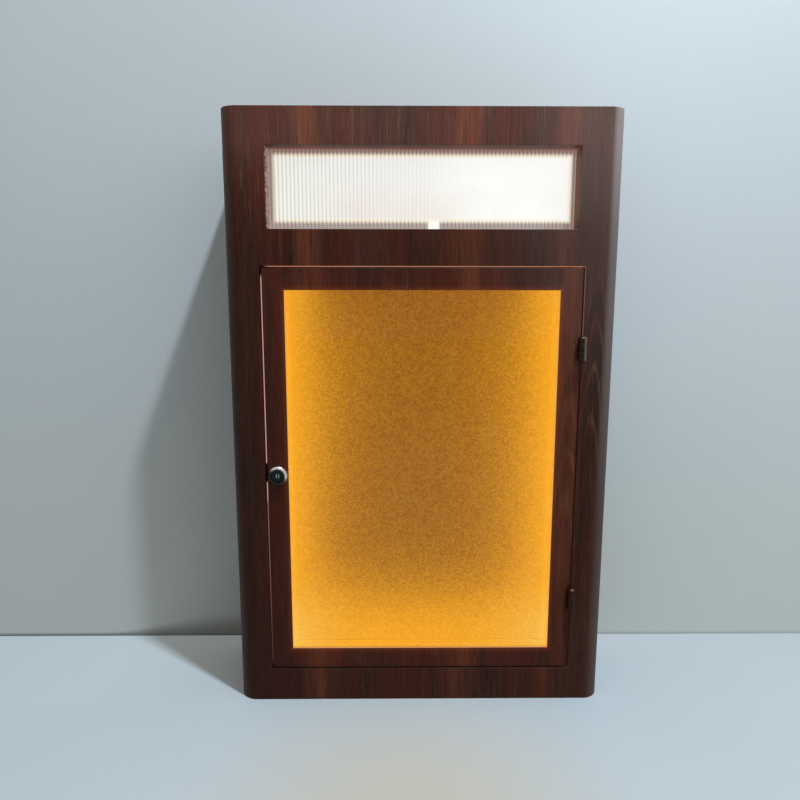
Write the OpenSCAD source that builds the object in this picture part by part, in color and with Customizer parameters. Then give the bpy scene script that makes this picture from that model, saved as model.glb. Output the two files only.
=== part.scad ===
// Illuminated display case: a shallow upright cabinet with a lit header window
// above a lockable glazed door. All sizes are in millimetres, +Z is up, the front
// faces -Y, and the origin is at the centre of the base.

/* [Cabinet] */
// Width of the cabinet
cabinet_w = 400; // [360:1:520]
// Height of the cabinet
cabinet_h = 626; // [560:1:800]
// Depth from the front face to the back of the rear cover
cabinet_d = 120; // [114:1:180]
// Thickness of the front frame
front_t = 22; // [21:1:24]
// Radius of the upright front edges
corner_r = 18; // [4:1:20]
// Thickness of the side, top and bottom boards
board_t = 18; // [15:1:20]
// Thickness of the divider shelf between the header and the display space
divider_t = 12; // [9:1:16]
// Thickness of the rear cover
cover_t = 6; // [4:1:9]

/* [Front frame] */
// Width of the frame's uprights beside the door
stile_w = 36; // [32:1:50]
// Height of the rail above the header window
top_rail_h = 36; // [32:1:60]
// Height of the header window
header_h = 80; // [70:1:120]
// Margin between the cabinet's side and the header window
header_side = 44; // [40:1:60]
// Height of the rail between the header window and the door
mid_rail_h = 36; // [32:1:60]
// Height of the rail below the door
bottom_rail_h = 37; // [34:1:60]

/* [Door] */
// Gap between the door and the front frame
door_gap = 2; // [1.6:0.1:3]
// Width of the door's stiles and rails
member_w = 22; // [21:0.5:30]
// Thickness of the door
door_t = 20; // [18:0.5:21]
// Thickness of the lip in front of the glass
lip_t = 3; // [2.5:0.5:6]
// Width of the stiles' rebate for the glass
rebate_w = 4.5; // [3.5:0.5:5]
// Width of the rails' rebate for the glass
rail_rebate_w = 9; // [6:0.5:10]
// Thickness of the glass
glass_t = 3; // [2:0.5:4]
// Length of the tenons on the door's rails
tenon_l = 8; // [5:0.5:10]
// Thickness of the tenons
tenon_t = 6; // [4:0.5:8]
// Depth of the glazing beads behind the glass
bead_d = 9; // [6:0.5:10]
// Setback of the upright beads from the sight edge
bead_back_upright = 1.8; // [1:0.1:2.5]
// Setback of the level beads from the sight edge
bead_back_level = 3.6; // [2:0.1:5]

/* [Hinges] */
// Length of the hinge barrel without its finials
hinge_l = 22; // [18:1:40]
// Diameter of the hinge barrel
barrel_d = 9; // [7:0.5:10]
// Diameter of the hinge pin
hinge_pin_d = 4; // [2.5:0.5:5]
// Thickness of the hinge leaves
leaf_t = 0.8; // [0.5:0.1:0.8]
// Depth of the hinge leaves behind the cabinet's face
leaf_d = 16; // [14:0.5:17]
// Distance from the door's end to the middle of its hinge
hinge_inset = 81; // [40:1:140]
// Height of the finials on the hinge pins
finial_h = 2.2; // [1:0.1:4]

/* [Lock] */
// Diameter of the lock's bezel
bezel_d = 21; // [18:0.5:22]
// How far the bezel stands out from the door
bezel_h = 5; // [3:0.5:8]
// Diameter of the lock's threaded barrel
lock_barrel_d = 12; // [10:0.5:13]
// Diameter of the turning plug's shaft
plug_d = 8; // [6:0.5:8]
// Height of the lock above the door's middle
lock_rise = 2; // [-60:1:60]
// Length of the cam from the lock's axis
cam_l = 24; // [20:1:26]
// Width of the cam
cam_w = 14; // [10:1:16]
// Thickness of the cam
cam_t = 2; // [1.5:0.5:2.5]

/* [Header light] */
// Thickness of the ribbed panel
ribbed_t = 3; // [2.5:0.5:4]
// Distance from rib to rib
rib_pitch = 4; // [3:0.5:8]
// Height of each rib
rib_h = 0.6; // [0.3:0.1:1]
// How far the ribbed panel runs behind the front frame
ribbed_overlap = 8; // [6:0.5:9]
// Inset of the light tray's mouth from the sides and top of the window
tray_inset = 4.5; // [3:0.5:8]
// Inset of the light tray's mouth from the bottom of the window
tray_sill = 8.5; // [6:0.5:10]
// Depth of the light tray
tray_d = 45; // [30:1:55]
// Sheet thickness of the light tray
tray_t = 1.2; // [0.8:0.1:1.6]
// Width of the wire notch in the tray's lower lip
notch_w = 12.4; // [8:0.2:20]
// Distance of the wire notch to the right of the middle
notch_x = 12; // [-60:1:60]

/* [Display] */
// Depth of the display panel's face behind the cabinet's front
display_y = 37; // [35:1:42]
// Thickness of the display panel
display_t = 4; // [3:0.5:6]
// How far the display panel runs past the door's sight opening, up and down
display_over = 9.5; // [6:0.5:12]
// Thickness of the backing board
backing_t = 6; // [4:1:9]
// Width of the light channels
channel_w = 18; // [16:1:18]
// Depth of the light channels
channel_d = 10; // [8:0.5:10]

/* [Hardware] */
// Bore of the cable grommet
grommet_bore = 7; // [5:0.5:9]
// Distance of the cable grommet from the cabinet's side
grommet_side = 80; // [60:1:140]
// Height of the cable grommet
grommet_z = 66; // [60:1:120]
// Height of the hanger plates' keyholes below the cabinet's top
hanger_drop = 74; // [60:1:160]
// Length of the light driver
driver_l = 120; // [80:1:160]

/* [Hidden] */

$fn = 64;
eps = 0.05;

// Clearances
glue_fit = 0.05;
screw_fit = 0.05;
sheet_fit = 0.5;
run_fit = 0.05;
lay_fit = 0.2;

// Screws: shank diameter and head diameter, and the head's height where it is a pan head
hinge_screw = [2.4, 4.6];
strike_screw = [2.5, 5];
hanger_screw = [3, 6];
small_pan = [3, 6, 2];
cover_pan = [3.5, 7, 2.2];

// Lengths of the screws, and how far the tray's screws bite into the front frame
hinge_screw_l = 12;
strike_screw_l = 12;
hanger_screw_l = 16;
cover_screw_l = 20;
channel_screw_l = 14;
driver_screw_l = 14;
tray_screw_bite = 11;

// Colours
film = [0.26, 0.13, 0.10];
fibreboard = [0.62, 0.48, 0.34];
hardboard = [0.36, 0.25, 0.17];
beech = [0.80, 0.65, 0.45];
cork = [0.85, 0.55, 0.20];
bronze = [0.22, 0.16, 0.12];
zinc = [0.72, 0.73, 0.75];
chrome = [0.85, 0.86, 0.88];
aluminium = [0.78, 0.79, 0.80];
white_paint = [0.92, 0.92, 0.90];
opal = [0.98, 0.95, 0.86];
reeded = [0.90, 0.93, 0.93];
strip_white = [0.93, 0.93, 0.90];
case_white = [0.88, 0.88, 0.86];
rubber = [0.10, 0.10, 0.10];
glass_tint = [0.75, 0.88, 0.86, 0.35];

// Levels and widths of the front frame
half_w = cabinet_w / 2;
inner_half = half_w - board_t;
door_z0 = bottom_rail_h;
door_z1 = cabinet_h - top_rail_h - header_h - mid_rail_h;
header_z0 = door_z1 + mid_rail_h;
header_z1 = header_z0 + header_h;
open_half = half_w - stile_w;
header_half = half_w - header_side;

// Depths, measured back from the front face
cover_y = cabinet_d - cover_t;
backing_y = display_y + display_t;
bay_y = backing_y + backing_t;

// Divider shelf, just above the top of the door opening
divider_up = 4;
divider_z = door_z1 + divider_up;

// Door
door_half = open_half - door_gap;
leaf_z0 = door_z0 + door_gap;
leaf_z1 = door_z1 - door_gap;
door_h = leaf_z1 - leaf_z0;
sight_half = door_half - member_w;
sight_z0 = leaf_z0 + member_w;
sight_z1 = leaf_z1 - member_w;
glass_gap = 0.5;
tenon_y = (door_t - tenon_t) / 2;
rail_core_h = member_w - rail_rebate_w;
tenon_h = rail_core_h - 6;
bead_nose = 0.8;
bead_foot = 0.6;
glass_bed_z = rail_rebate_w - glass_gap;

// Hinges
hinge_x = open_half - door_gap / 2;
face_clear = 0.3;
hinge_y = -(barrel_d / 2 + face_clear);
knuckle_gap = 0.2;
knuckle_l = (hinge_l - 2 * knuckle_gap) / 3;
hinge_zs = [leaf_z1 - hinge_inset, leaf_z0 + hinge_inset];
hinge_screw_y = leaf_d * 0.62;
hinge_screw_up = hinge_l / 2 - 5;

// Lock
lock_x = -(door_half - member_w / 2);
lock_z = (leaf_z0 + leaf_z1) / 2 + lock_rise;
lock_nut_t = 3.5;
lock_nut_w = 15;
lock_flat = lock_barrel_d - 1.6;
strike_t = 1.5;
cam_y = max(front_t + strike_t, door_t + lock_nut_t) + 1.1;
lock_end_y = cam_y - 0.6;
plug_square = plug_d * 0.62;
plug_face_d = 13;
plug_face_t = 1.6;
plug_recess = 1.4;
plug_dish = 0.3;
plug_rim = 0.5;
cam_screw = [3, 8, 1.8];
cam_screw_l = 6;
key_slot = [1.4, 6.6, 7];

// Strike plate behind the frame's left upright
strike_lap = 2.5;
strike_h = 21;
strike_x = -(inner_half - sheet_fit);
strike_w = -open_half + strike_lap - strike_x;
strike_screw_x = strike_x + strike_w * 0.32;
strike_screw_up = strike_h / 2 - 4;

// Header light
ribbed_half = header_half + ribbed_overlap;
ribbed_z0 = header_z0 - ribbed_overlap;
ribbed_z1 = header_z1 + ribbed_overlap;
tray_half = header_half - tray_inset;
tray_z0 = header_z0 + tray_sill;
tray_z1 = header_z1 - tray_inset;
tray_y = front_t + ribbed_t;
spacer_d = 7;
spacer_x = ribbed_half + spacer_d / 2 + 1;
flange_half = spacer_x + spacer_d / 2 + 1;
flange_up = 14;
tray_screw_end = 5;
tray_screw_zs = [tray_z0 + tray_screw_end, (tray_z0 + tray_z1) / 2, tray_z1 - tray_screw_end];
notch_d = 14;
tray_back_y = tray_y + tray_d - tray_t;
tray_hole_z = tray_z0 + 7;
strip_end = 6;
header_strip_in = (tray_z1 - tray_z0) * 0.28;
header_strip_zs = [tray_z0 + header_strip_in, tray_z1 - header_strip_in];
header_diffuser_y = tray_y + 3;
header_diffuser_t = 2;

// Display panel and light channels
panel_half = sight_half;
panel_z0 = sight_z0 - display_over;
panel_z1 = sight_z1 + display_over;
channel_wall = 1.2;
channel_ledge = 0.8;
channel_x = panel_half + sheet_fit + channel_w / 2;
channel_z = panel_z0 - sheet_fit - channel_w / 2;
channel_z0 = panel_z0 - sheet_fit - channel_w;
lead_up = 10;
strip_start = 22;
side_screw_zs = [channel_z0 + strip_start + 8, (channel_z0 + panel_z1) / 2, panel_z1 - 25];
bottom_screw_xs = [-panel_half + 60, panel_half - 60];
strip_w = 10;
strip_t = 1.2;
chip = [3.5, 2.8, 0.9];
chip_pitch = 12.5;
diffuser_t = 1.5;
screw_clear_d = 7;
chip_clear = 5.5;
cleat_t = 12;
cleat_in = channel_x - 6;
cleat_top = channel_z + 14;

// Door stops behind the frame's lower rail and right upright
stop_t = 5;
stop_lap = 6;
stop_lap_side = 5;
seal_w = 4;
seal_t = front_t - door_t - face_clear;

// Rear cover, hangers, grommet and driver
cover_edge = 1;
cover_screw_x = half_w - board_t / 2;
cover_screw_end = 30;
cover_screw_zs = [cover_screw_end, cover_screw_end + (cabinet_h - 2 * cover_screw_end) / 3,
    cabinet_h - cover_screw_end - (cabinet_h - 2 * cover_screw_end) / 3,
    cabinet_h - cover_screw_end];
hanger_x = cover_screw_x;
hanger_z = cabinet_h - hanger_drop;
hanger_w = 14;
hanger_l = 44;
hanger_t = 1.5;
keyhole_d = 9;
keyhole_slot = 4.6;
keyhole_rise = 12;
hanger_screw_dz = [-9.5, 25.5];
pocket_depth = cover_t + 5;
grommet_x = half_w - grommet_side;
grommet_groove_d = grommet_bore + 4;
grommet_flange_d = grommet_bore + 9;
grommet_flange_t = 1.8;
driver_w = 34;
driver_h = 24;
driver_ear = 9;
driver_ear_t = 3;
driver_y0 = cover_y - 6 - driver_w;

// Internal leads
lead_d = 3;
lead_hole_d = lead_d + 2;
lead_rise = 12;
lead_in = 10;
lead_back = 7;
lead_lift = 0.4;

// Dowels
dowel_d = 6;
dowel_l = 30;
dowel_in_side = 12;
dowel_end = 0.5;
dowel_ys = [front_t + 30, cover_y - 16];
dowel_zs = [board_t / 2, divider_z + divider_t / 2, cabinet_h - board_t / 2];
front_dowel_end = 62;
front_dowel_zs = [front_dowel_end, cabinet_h / 2, cabinet_h - front_dowel_end];
front_dowel_in = 12;

// Places children in the cabinet's frame, with y measured back from the front face
module from_front() {
    translate([0, -cabinet_d / 2, 0]) children();
}

// A box between two corners
module box(low, high) {
    translate(low) cube(high - low);
}

module toward_back() {
    rotate([-90, 0, 0]) children();
}

module toward_front() {
    rotate([90, 0, 0]) children();
}

module mirror_pair() {
    children();
    mirror([1, 0, 0]) children();
}

// Countersunk screw along +Z with its flat head at z = 0; grow widens it into its hole
module countersunk(screw, l, grow = 0) {
    shank_r = screw[0] / 2 + grow;
    head_r = screw[1] / 2 + grow;
    head_h = head_r - shank_r;
    tip = screw[0];
    rotate_extrude($fn = 32)
        polygon([[0, -grow], [head_r, -grow], [head_r, 0], [shank_r, head_h],
            [shank_r, l - tip + grow], [grow, l + grow], [0, l + grow]]);
}

// Cross recess for a screw head, cut down from z = 0
module cross_recess(size, depth) {
    for (turn = [0, 90])
        rotate([0, 0, turn])
            translate([-size / 2, -size / 8, -eps]) cube([size, size / 4, depth + eps]);
}

module flat_screw(screw, l) {
    difference() {
        countersunk(screw, l);
        cross_recess(screw[1] * 0.6, screw[0] * 0.35);
    }
}

// Pan-head screw along +Z with the underside of its head at z = 0
module pan_screw(screw, l) {
    shank_r = screw[0] / 2;
    head_r = screw[1] / 2;
    head_h = screw[2];
    difference() {
        rotate_extrude($fn = 32)
            polygon([[0, -head_h], [head_r * 0.64, -head_h], [head_r * 0.9, -head_h * 0.72],
                [head_r, -head_h * 0.3], [head_r, 0], [shank_r, 0], [shank_r, l - screw[0]], [0, l]]);
        translate([0, 0, -head_h]) cross_recess(screw[1] * 0.55, head_h * 0.45);
    }
}

// Straight hole for a screw's shank
module pilot(screw, l) {
    translate([0, 0, -eps]) cylinder(d = screw[0] + 2 * screw_fit, h = l + eps + screw_fit, $fn = 32);
}

// Dowels between the sides and the level boards, and from the front frame into the sides
module dowels(grow = 0, slack = 0) {
    mirror_pair() {
        for (y = dowel_ys, z = dowel_zs)
            translate([inner_half + dowel_in_side + slack, y, z])
                rotate([0, -90, 0])
                    cylinder(d = dowel_d + 2 * grow, h = dowel_l + 2 * slack, $fn = 32);
        for (z = front_dowel_zs)
            translate([half_w - board_t / 2, front_t - front_dowel_in - slack, z])
                toward_back() cylinder(d = dowel_d + 2 * grow, h = dowel_l + 2 * slack, $fn = 32);
    }
}

module dowel_holes() {
    dowels(glue_fit, dowel_end);
}

module hanger_screw_places() {
    mirror_pair()
        for (dz = hanger_screw_dz)
            translate([hanger_x, 0, hanger_z + dz]) children();
}

module cover_screw_places() {
    mirror_pair()
        for (z = cover_screw_zs) translate([cover_screw_x, 0, z]) children();
    for (z = [board_t / 2, cabinet_h - board_t / 2]) translate([0, 0, z]) children();
}

module tray_screw_places() {
    mirror_pair()
        for (z = tray_screw_zs) translate([spacer_x, 0, z]) children();
}

module strike_screw_places() {
    for (dz = [-strike_screw_up, strike_screw_up])
        translate([strike_screw_x, front_t + strike_t, lock_z + dz]) toward_front() children();
}

// Screw axes of the hinge leaves: side 1 points into the frame, side -1 into the door
module hinge_screw_places(side) {
    for (z = hinge_zs, dz = [-hinge_screw_up, hinge_screw_up])
        translate([hinge_x + side * (door_gap / 2 - leaf_t), hinge_screw_y, z + dz])
            rotate([0, side * 90, 0]) children();
}

// Screws that hold the light channels through the backing board into the cleats
module channel_screw_places() {
    floor_y = backing_y - channel_wall;
    for (z = side_screw_zs) mirror_pair() translate([channel_x, floor_y, z]) toward_back() children();
    for (x = bottom_screw_xs) translate([x, floor_y, channel_z]) toward_back() children();
}

// Keyhole outline: round entry at the origin with a narrow slot above it
module keyhole(d, slot, rise) {
    circle(d = d);
    translate([-slot / 2, 0]) square([slot, rise]);
    translate([0, rise]) circle(d = slot);
}

module hanger_pocket() {
    mirror_pair()
        translate([hanger_x, cabinet_d - pocket_depth, hanger_z])
            toward_back() linear_extrude(pocket_depth + eps) mirror([0, 1])
                keyhole(keyhole_d + 2, keyhole_d + 1, keyhole_rise + 1);
}

// Front frame: one board with the header window and the door opening cut through it

// Plan of the front board: square behind, with the two upright front edges rounded
module front_plan() {
    difference() {
        translate([-half_w, 0]) square([cabinet_w, front_t]);
        mirror_pair()
            translate([half_w - corner_r, 0]) difference() {
                translate([0, -eps]) square([corner_r + eps, corner_r + eps]);
                translate([0, corner_r]) circle(r = corner_r, $fn = 128);
            }
    }
}

module front_frame() {
    color(film) from_front() difference() {
        linear_extrude(cabinet_h) front_plan();
        box([-header_half, -eps, header_z0], [header_half, front_t + eps, header_z1]);
        box([-open_half, -eps, door_z0], [open_half, front_t + eps, door_z1]);
        dowel_holes();
        tray_screw_places() translate([0, front_t, 0]) toward_front() pilot(small_pan, tray_screw_bite + 1);
        strike_screw_places() countersunk(strike_screw, strike_screw_l, screw_fit);
        hinge_screw_places(1) countersunk(hinge_screw, hinge_screw_l, screw_fit);
    }
}

// Carcass boards

module side_board() {
    from_front() difference() {
        box([inner_half, front_t, 0], [half_w, cover_y, cabinet_h]);
        dowel_holes();
        hanger_pocket();
        cover_screw_places() translate([0, cover_y, 0])
            toward_front() pilot(cover_pan, cover_screw_l - cover_t);
        hanger_screw_places() translate([0, cover_y, 0])
            toward_front() pilot(hanger_screw, hanger_screw_l - cover_t);
    }
}

module left_side() {
    color(film) mirror([1, 0, 0]) side_board();
}

module right_side() {
    color(film) side_board();
}

module level_board(z, t) {
    from_front() difference() {
        box([-inner_half, front_t, z], [inner_half, cover_y, z + t]);
        dowel_holes();
        cover_screw_places() translate([0, cover_y, 0])
            toward_front() pilot(cover_pan, cover_screw_l - cover_t);
        children();
    }
}

module top_board() {
    color(film) level_board(cabinet_h - board_t, board_t);
}

module bottom_board() {
    color(film) level_board(0, board_t)
        driver_screw_places() pilot(small_pan, driver_screw_l - driver_ear_t + 1);
}

// The shelf has a wire slot in its rear edge
module divider_shelf() {
    slot_w = 40;
    slot_d = 14;
    color(fibreboard) level_board(divider_z, divider_t)
        box([-slot_w / 2, cover_y - slot_d, divider_z - eps],
            [slot_w / 2, cover_y + eps, divider_z + divider_t + eps]);
}

module carcass_dowels() {
    color(beech) from_front() dowels();
}

// Rear cover with its screws, hangers and cable grommet

module rear_cover() {
    color(hardboard) from_front() difference() {
        box([-half_w + cover_edge, cover_y, cover_edge],
            [half_w - cover_edge, cabinet_d, cabinet_h - cover_edge]);
        cover_screw_places() translate([0, cabinet_d, 0]) toward_front() pilot(cover_pan, cover_t + 1);
        hanger_screw_places() translate([0, cabinet_d, 0])
            toward_front() pilot(hanger_screw, cover_t + 1);
        hanger_pocket();
        translate([grommet_x, cover_y - eps, grommet_z])
            toward_back() cylinder(d = grommet_groove_d + 2 * glue_fit, h = cover_t + 2 * eps);
    }
}

module rear_cover_screws() {
    color(zinc) from_front()
        cover_screw_places() translate([0, cabinet_d, 0]) toward_front() pan_screw(cover_pan, cover_screw_l);
}

module hanger_plates() {
    plate_z0 = hanger_z + hanger_screw_dz[0] - 4.5;
    color(zinc) from_front() difference() {
        mirror_pair() box([hanger_x - hanger_w / 2, cabinet_d, plate_z0],
            [hanger_x + hanger_w / 2, cabinet_d + hanger_t, plate_z0 + hanger_l]);
        mirror_pair() translate([hanger_x, cabinet_d - eps, hanger_z])
            toward_back() linear_extrude(hanger_t + 2 * eps) mirror([0, 1])
                keyhole(keyhole_d, keyhole_slot, keyhole_rise);
        hanger_screw_places() translate([0, cabinet_d + hanger_t, 0])
            toward_front() countersunk(hanger_screw, hanger_screw_l, screw_fit);
    }
}

module hanger_screws() {
    color(zinc) from_front() hanger_screw_places() translate([0, cabinet_d + hanger_t, 0])
        toward_front() flat_screw(hanger_screw, hanger_screw_l);
}

// Grommet: two flanges and a groove turned round its bore
module cable_grommet() {
    r = grommet_bore / 2;
    g = grommet_groove_d / 2;
    f = grommet_flange_d / 2;
    h = cover_t / 2;
    e = h + grommet_flange_t;
    edge = 0.8;
    color(rubber) from_front() translate([grommet_x, cover_y + h, grommet_z]) toward_back()
        rotate_extrude()
            polygon([[r, -e], [f - edge, -e], [f, -e + edge], [f, -h], [g, -h],
                [g, h], [f, h], [f, e - edge], [f - edge, e], [r, e]]);
}

// Header light

// Plan of the ribbed panel: a flat back and a row of low round ribs with narrow flats between
module ribbed_plan() {
    rib_r = (pow(rib_pitch / 2, 2) + rib_h * rib_h) / (2 * rib_h);
    ribs = floor((ribbed_half - 1) / rib_pitch);
    flat_y = rib_h * 0.85;
    intersection() {
        translate([-ribbed_half, 0]) square([2 * ribbed_half, ribbed_t]);
        union() {
            translate([-ribbed_half, flat_y]) square([2 * ribbed_half, ribbed_t]);
            for (i = [-ribs:ribs])
                translate([i * rib_pitch, rib_r]) circle(r = rib_r, $fn = 48);
        }
    }
}

module ribbed_panel() {
    color(reeded) from_front() translate([0, front_t, ribbed_z0])
        linear_extrude(ribbed_z1 - ribbed_z0) ribbed_plan();
}

// Tray: a folded box, open to the front, with a flange that clamps the ribbed panel
module header_tray() {
    color(white_paint) from_front() difference() {
        union() {
            box([-tray_half - tray_t, tray_y, tray_z0 - tray_t],
                [tray_half + tray_t, tray_back_y + tray_t, tray_z1 + tray_t]);
            box([-flange_half, tray_y, tray_z0 - flange_up],
                [flange_half, tray_y + tray_t, tray_z1 + flange_up]);
        }
        box([-tray_half, tray_y - eps, tray_z0], [tray_half, tray_back_y, tray_z1]);
        box([notch_x - notch_w / 2, tray_y - eps, tray_z0 - tray_sill - 1],
            [notch_x + notch_w / 2, tray_y + notch_d, tray_z0 + eps]);
        tray_screw_places() translate([0, tray_y + tray_t, 0])
            toward_front() pilot(small_pan, tray_t + 1);
        translate([0, tray_back_y - eps, tray_hole_z])
            toward_back() cylinder(d = lead_hole_d, h = tray_t + 2 * eps);
    }
}

module header_diffuser() {
    color(opal) from_front()
        box([-tray_half + lay_fit, header_diffuser_y, tray_z0 + lay_fit],
            [tray_half - lay_fit, header_diffuser_y + header_diffuser_t, tray_z1 - lay_fit]);
}

// Light strip from x = 0 along +X, with holes round the screws and chips clear of them
module light_strip(l, screws = []) {
    count = floor(l / chip_pitch) - 1;
    margin = (l - count * chip_pitch) / 2;
    difference() {
        translate([0, -strip_w / 2, 0]) cube([l, strip_w, strip_t]);
        for (x = screws) translate([x, 0, -eps]) cylinder(d = screw_clear_d, h = strip_t + 2 * eps);
    }
    for (i = [0:count]) {
        x = margin + i * chip_pitch;
        if (len([for (s = screws) if (abs(x - s) < chip_clear) s]) == 0)
            translate([x - chip[0] / 2, -chip[1] / 2, strip_t - eps])
                cube([chip[0], chip[1], chip[2] + eps]);
    }
}

module header_led_strips() {
    color(strip_white) from_front() for (z = header_strip_zs)
        translate([-tray_half + strip_end, tray_back_y, z])
            toward_front() light_strip(2 * (tray_half - strip_end));
}

module header_spacers() {
    color(case_white) from_front() tray_screw_places()
        translate([0, front_t, 0]) toward_back() difference() {
            cylinder(d = spacer_d, h = ribbed_t, $fn = 32);
            pilot(small_pan, ribbed_t + 1);
        }
}

module header_tray_screws() {
    color(zinc) from_front() tray_screw_places() translate([0, tray_y + tray_t, 0])
        toward_front() pan_screw(small_pan, tray_screw_bite + ribbed_t + tray_t);
}

// Display panel, its backing and the light channels round it

module backing_board() {
    color(fibreboard) from_front() difference() {
        box([-inner_half + sheet_fit, backing_y, board_t + sheet_fit],
            [inner_half - sheet_fit, bay_y, divider_z - sheet_fit]);
        channel_screw_places() pilot(small_pan, channel_screw_l);
        lead_holes(backing_y, backing_t);
    }
}

// Three battens glued to the sides and the bottom board behind the backing board
module backing_cleats() {
    color(beech) from_front() difference() {
        union() {
            mirror_pair() box([cleat_in, bay_y, board_t], [inner_half, bay_y + cleat_t, divider_z]);
            box([-cleat_in + sheet_fit, bay_y, board_t], [cleat_in - sheet_fit, bay_y + cleat_t, cleat_top]);
        }
        channel_screw_places() pilot(small_pan, channel_screw_l);
        lead_holes(bay_y, cleat_t);
    }
}

module display_panel() {
    color(cork) from_front()
        box([-panel_half, display_y, panel_z0], [panel_half, backing_y, panel_z1]);
}

// Section of a light channel: floor at y = 0, mouth at y = channel_d, ledges for the diffuser
module channel_plan() {
    ledge_y = channel_d - diffuser_t - lay_fit;
    difference() {
        translate([-channel_w / 2, 0]) square([channel_w, channel_d]);
        translate([-channel_w / 2 + channel_wall, ledge_y])
            square([channel_w - 2 * channel_wall, channel_d]);
        translate([-channel_w / 2 + channel_wall + channel_ledge, channel_wall])
            square([channel_w - 2 * channel_wall - 2 * channel_ledge, channel_d]);
    }
}

module diffuser_plan() {
    w = channel_w - 2 * channel_wall - 2 * lay_fit;
    difference() {
        translate([-w / 2, channel_d - diffuser_t]) square([w, diffuser_t]);
        for (side = [-1, 1])
            translate([side * w / 2, channel_d]) rotate([0, 0, 45]) square(0.8, center = true);
    }
}

// Runs a channel section up the left (-1) or right (1) edge of the display panel
module upright_run(side) {
    translate([side * channel_x, backing_y, channel_z0])
        linear_extrude(panel_z1 - channel_z0) mirror([0, 1]) children();
}

// Runs a channel section along the bottom edge, between the two uprights
module level_run() {
    translate([-panel_half, backing_y, channel_z])
        rotate([90, 0, 90]) linear_extrude(2 * panel_half) rotate([0, 0, 90]) children();
}

// The holes in a channel's floor for its screws and its lead
module channel_holes() {
    channel_screw_places() pilot(small_pan, channel_wall + 1);
    lead_holes(backing_y - channel_wall, channel_wall);
}

module led_channel(side) {
    color(aluminium) from_front() difference() {
        upright_run(side) channel_plan();
        channel_holes();
    }
}

module led_channel_left() {
    led_channel(-1);
}

module led_channel_right() {
    led_channel(1);
}

module led_channel_bottom() {
    color(aluminium) from_front() difference() {
        level_run() channel_plan();
        channel_holes();
    }
}

module led_diffuser_left() {
    color(opal) from_front() upright_run(-1) diffuser_plan();
}

module led_diffuser_right() {
    color(opal) from_front() upright_run(1) diffuser_plan();
}

module led_diffuser_bottom() {
    color(opal) from_front() level_run() diffuser_plan();
}

module led_strip(side) {
    z0 = channel_z0 + strip_start;
    color(strip_white) from_front() translate([side * channel_x, backing_y - channel_wall, z0])
        toward_front() rotate([0, 0, 90])
            light_strip(panel_z1 - strip_end - z0, [for (z = side_screw_zs) z - z0]);
}

module led_strip_left() {
    led_strip(-1);
}

module led_strip_right() {
    led_strip(1);
}

module led_strip_bottom() {
    x0 = -panel_half + strip_start;
    color(strip_white) from_front() translate([x0, backing_y - channel_wall, channel_z])
        toward_front() light_strip(panel_half - strip_end - x0, [for (x = bottom_screw_xs) x - x0]);
}

module channel_screws() {
    color(zinc) from_front() channel_screw_places() pan_screw(small_pan, channel_screw_l);
}

// Driver and leads in the bay behind the backing board

// Places where a lead passes forward: the foot of each side channel and the left of the bottom one
module lead_places() {
    mirror_pair() translate([channel_x, 0, channel_z0 + lead_up]) children();
    translate([-panel_half + lead_up, 0, channel_z]) children();
}

module lead_holes(y, t) {
    lead_places() translate([0, y - eps, 0])
        toward_back() cylinder(d = lead_hole_d, h = t + 2 * eps, $fn = 32);
}

module driver_screw_places() {
    for (side = [-1, 1])
        translate([side * (driver_l / 2 + driver_ear / 2), driver_y0 + driver_w / 2, board_t])
            rotate([180, 0, 0]) children();
}

// Driver: a case with chamfered edges and an ear at each end
module led_driver() {
    case_plan = [[0, 0], [driver_w, 0], [driver_w, driver_h - 3], [driver_w - 3, driver_h],
        [3, driver_h], [0, driver_h - 3]];
    color(case_white) from_front() difference() {
        union() {
            translate([-driver_l / 2, driver_y0, board_t])
                rotate([90, 0, 90]) linear_extrude(driver_l) polygon(case_plan);
            box([-driver_l / 2 - driver_ear, driver_y0 + driver_w / 2 - 8, board_t],
                [driver_l / 2 + driver_ear, driver_y0 + driver_w / 2 + 8, board_t + driver_ear_t]);
        }
        driver_screw_places() translate([0, 0, -driver_ear_t - eps]) pilot(small_pan, driver_ear_t + 1);
    }
}

module driver_screws() {
    color(zinc) from_front() driver_screw_places()
        translate([0, 0, -driver_ear_t]) pan_screw(small_pan, driver_screw_l);
}

// A round lead through a list of points, with round corners
module lead(points) {
    for (i = [0:len(points) - 2]) {
        span = points[i + 1] - points[i];
        l = norm(span);
        translate(points[i])
            rotate([0, acos(span[2] / l), atan2(span[1], span[0])])
                cylinder(d = lead_d, h = l, $fn = 24);
        if (i > 0) translate(points[i]) sphere(d = lead_d + 2 * screw_fit, $fn = 24);
    }
}

// A lead from the driver's top at (x, y) through a hole at from_x to the strip's end at to
module strip_lead(x, y, hole, to) {
    top = board_t + driver_h;
    strip_y = backing_y - channel_wall - lead_d / 2 - lead_lift;
    lead([[x, y, top], [x, y, top + lead_rise], [hole[0], y, hole[1]],
        [hole[0], strip_y, hole[1]], [to[0], strip_y, to[1]]]);
}

// A lead to the header's lower strip, and a link from there to the upper one
module header_lead(y) {
    top = board_t + driver_h;
    inside_y = tray_back_y - lead_d / 2 - lead_lift;
    low = header_strip_zs[0] - strip_w / 2;
    lead([[0, y, top], [0, y, top + lead_rise], [0, cover_y - lead_back, top + 2 * lead_rise],
        [0, cover_y - lead_back, tray_hole_z], [0, inside_y, tray_hole_z], [0, inside_y, low]]);
    lead([[lead_in, inside_y, low + strip_w], [lead_in, inside_y, header_strip_zs[1] - strip_w / 2]]);
}

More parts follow.
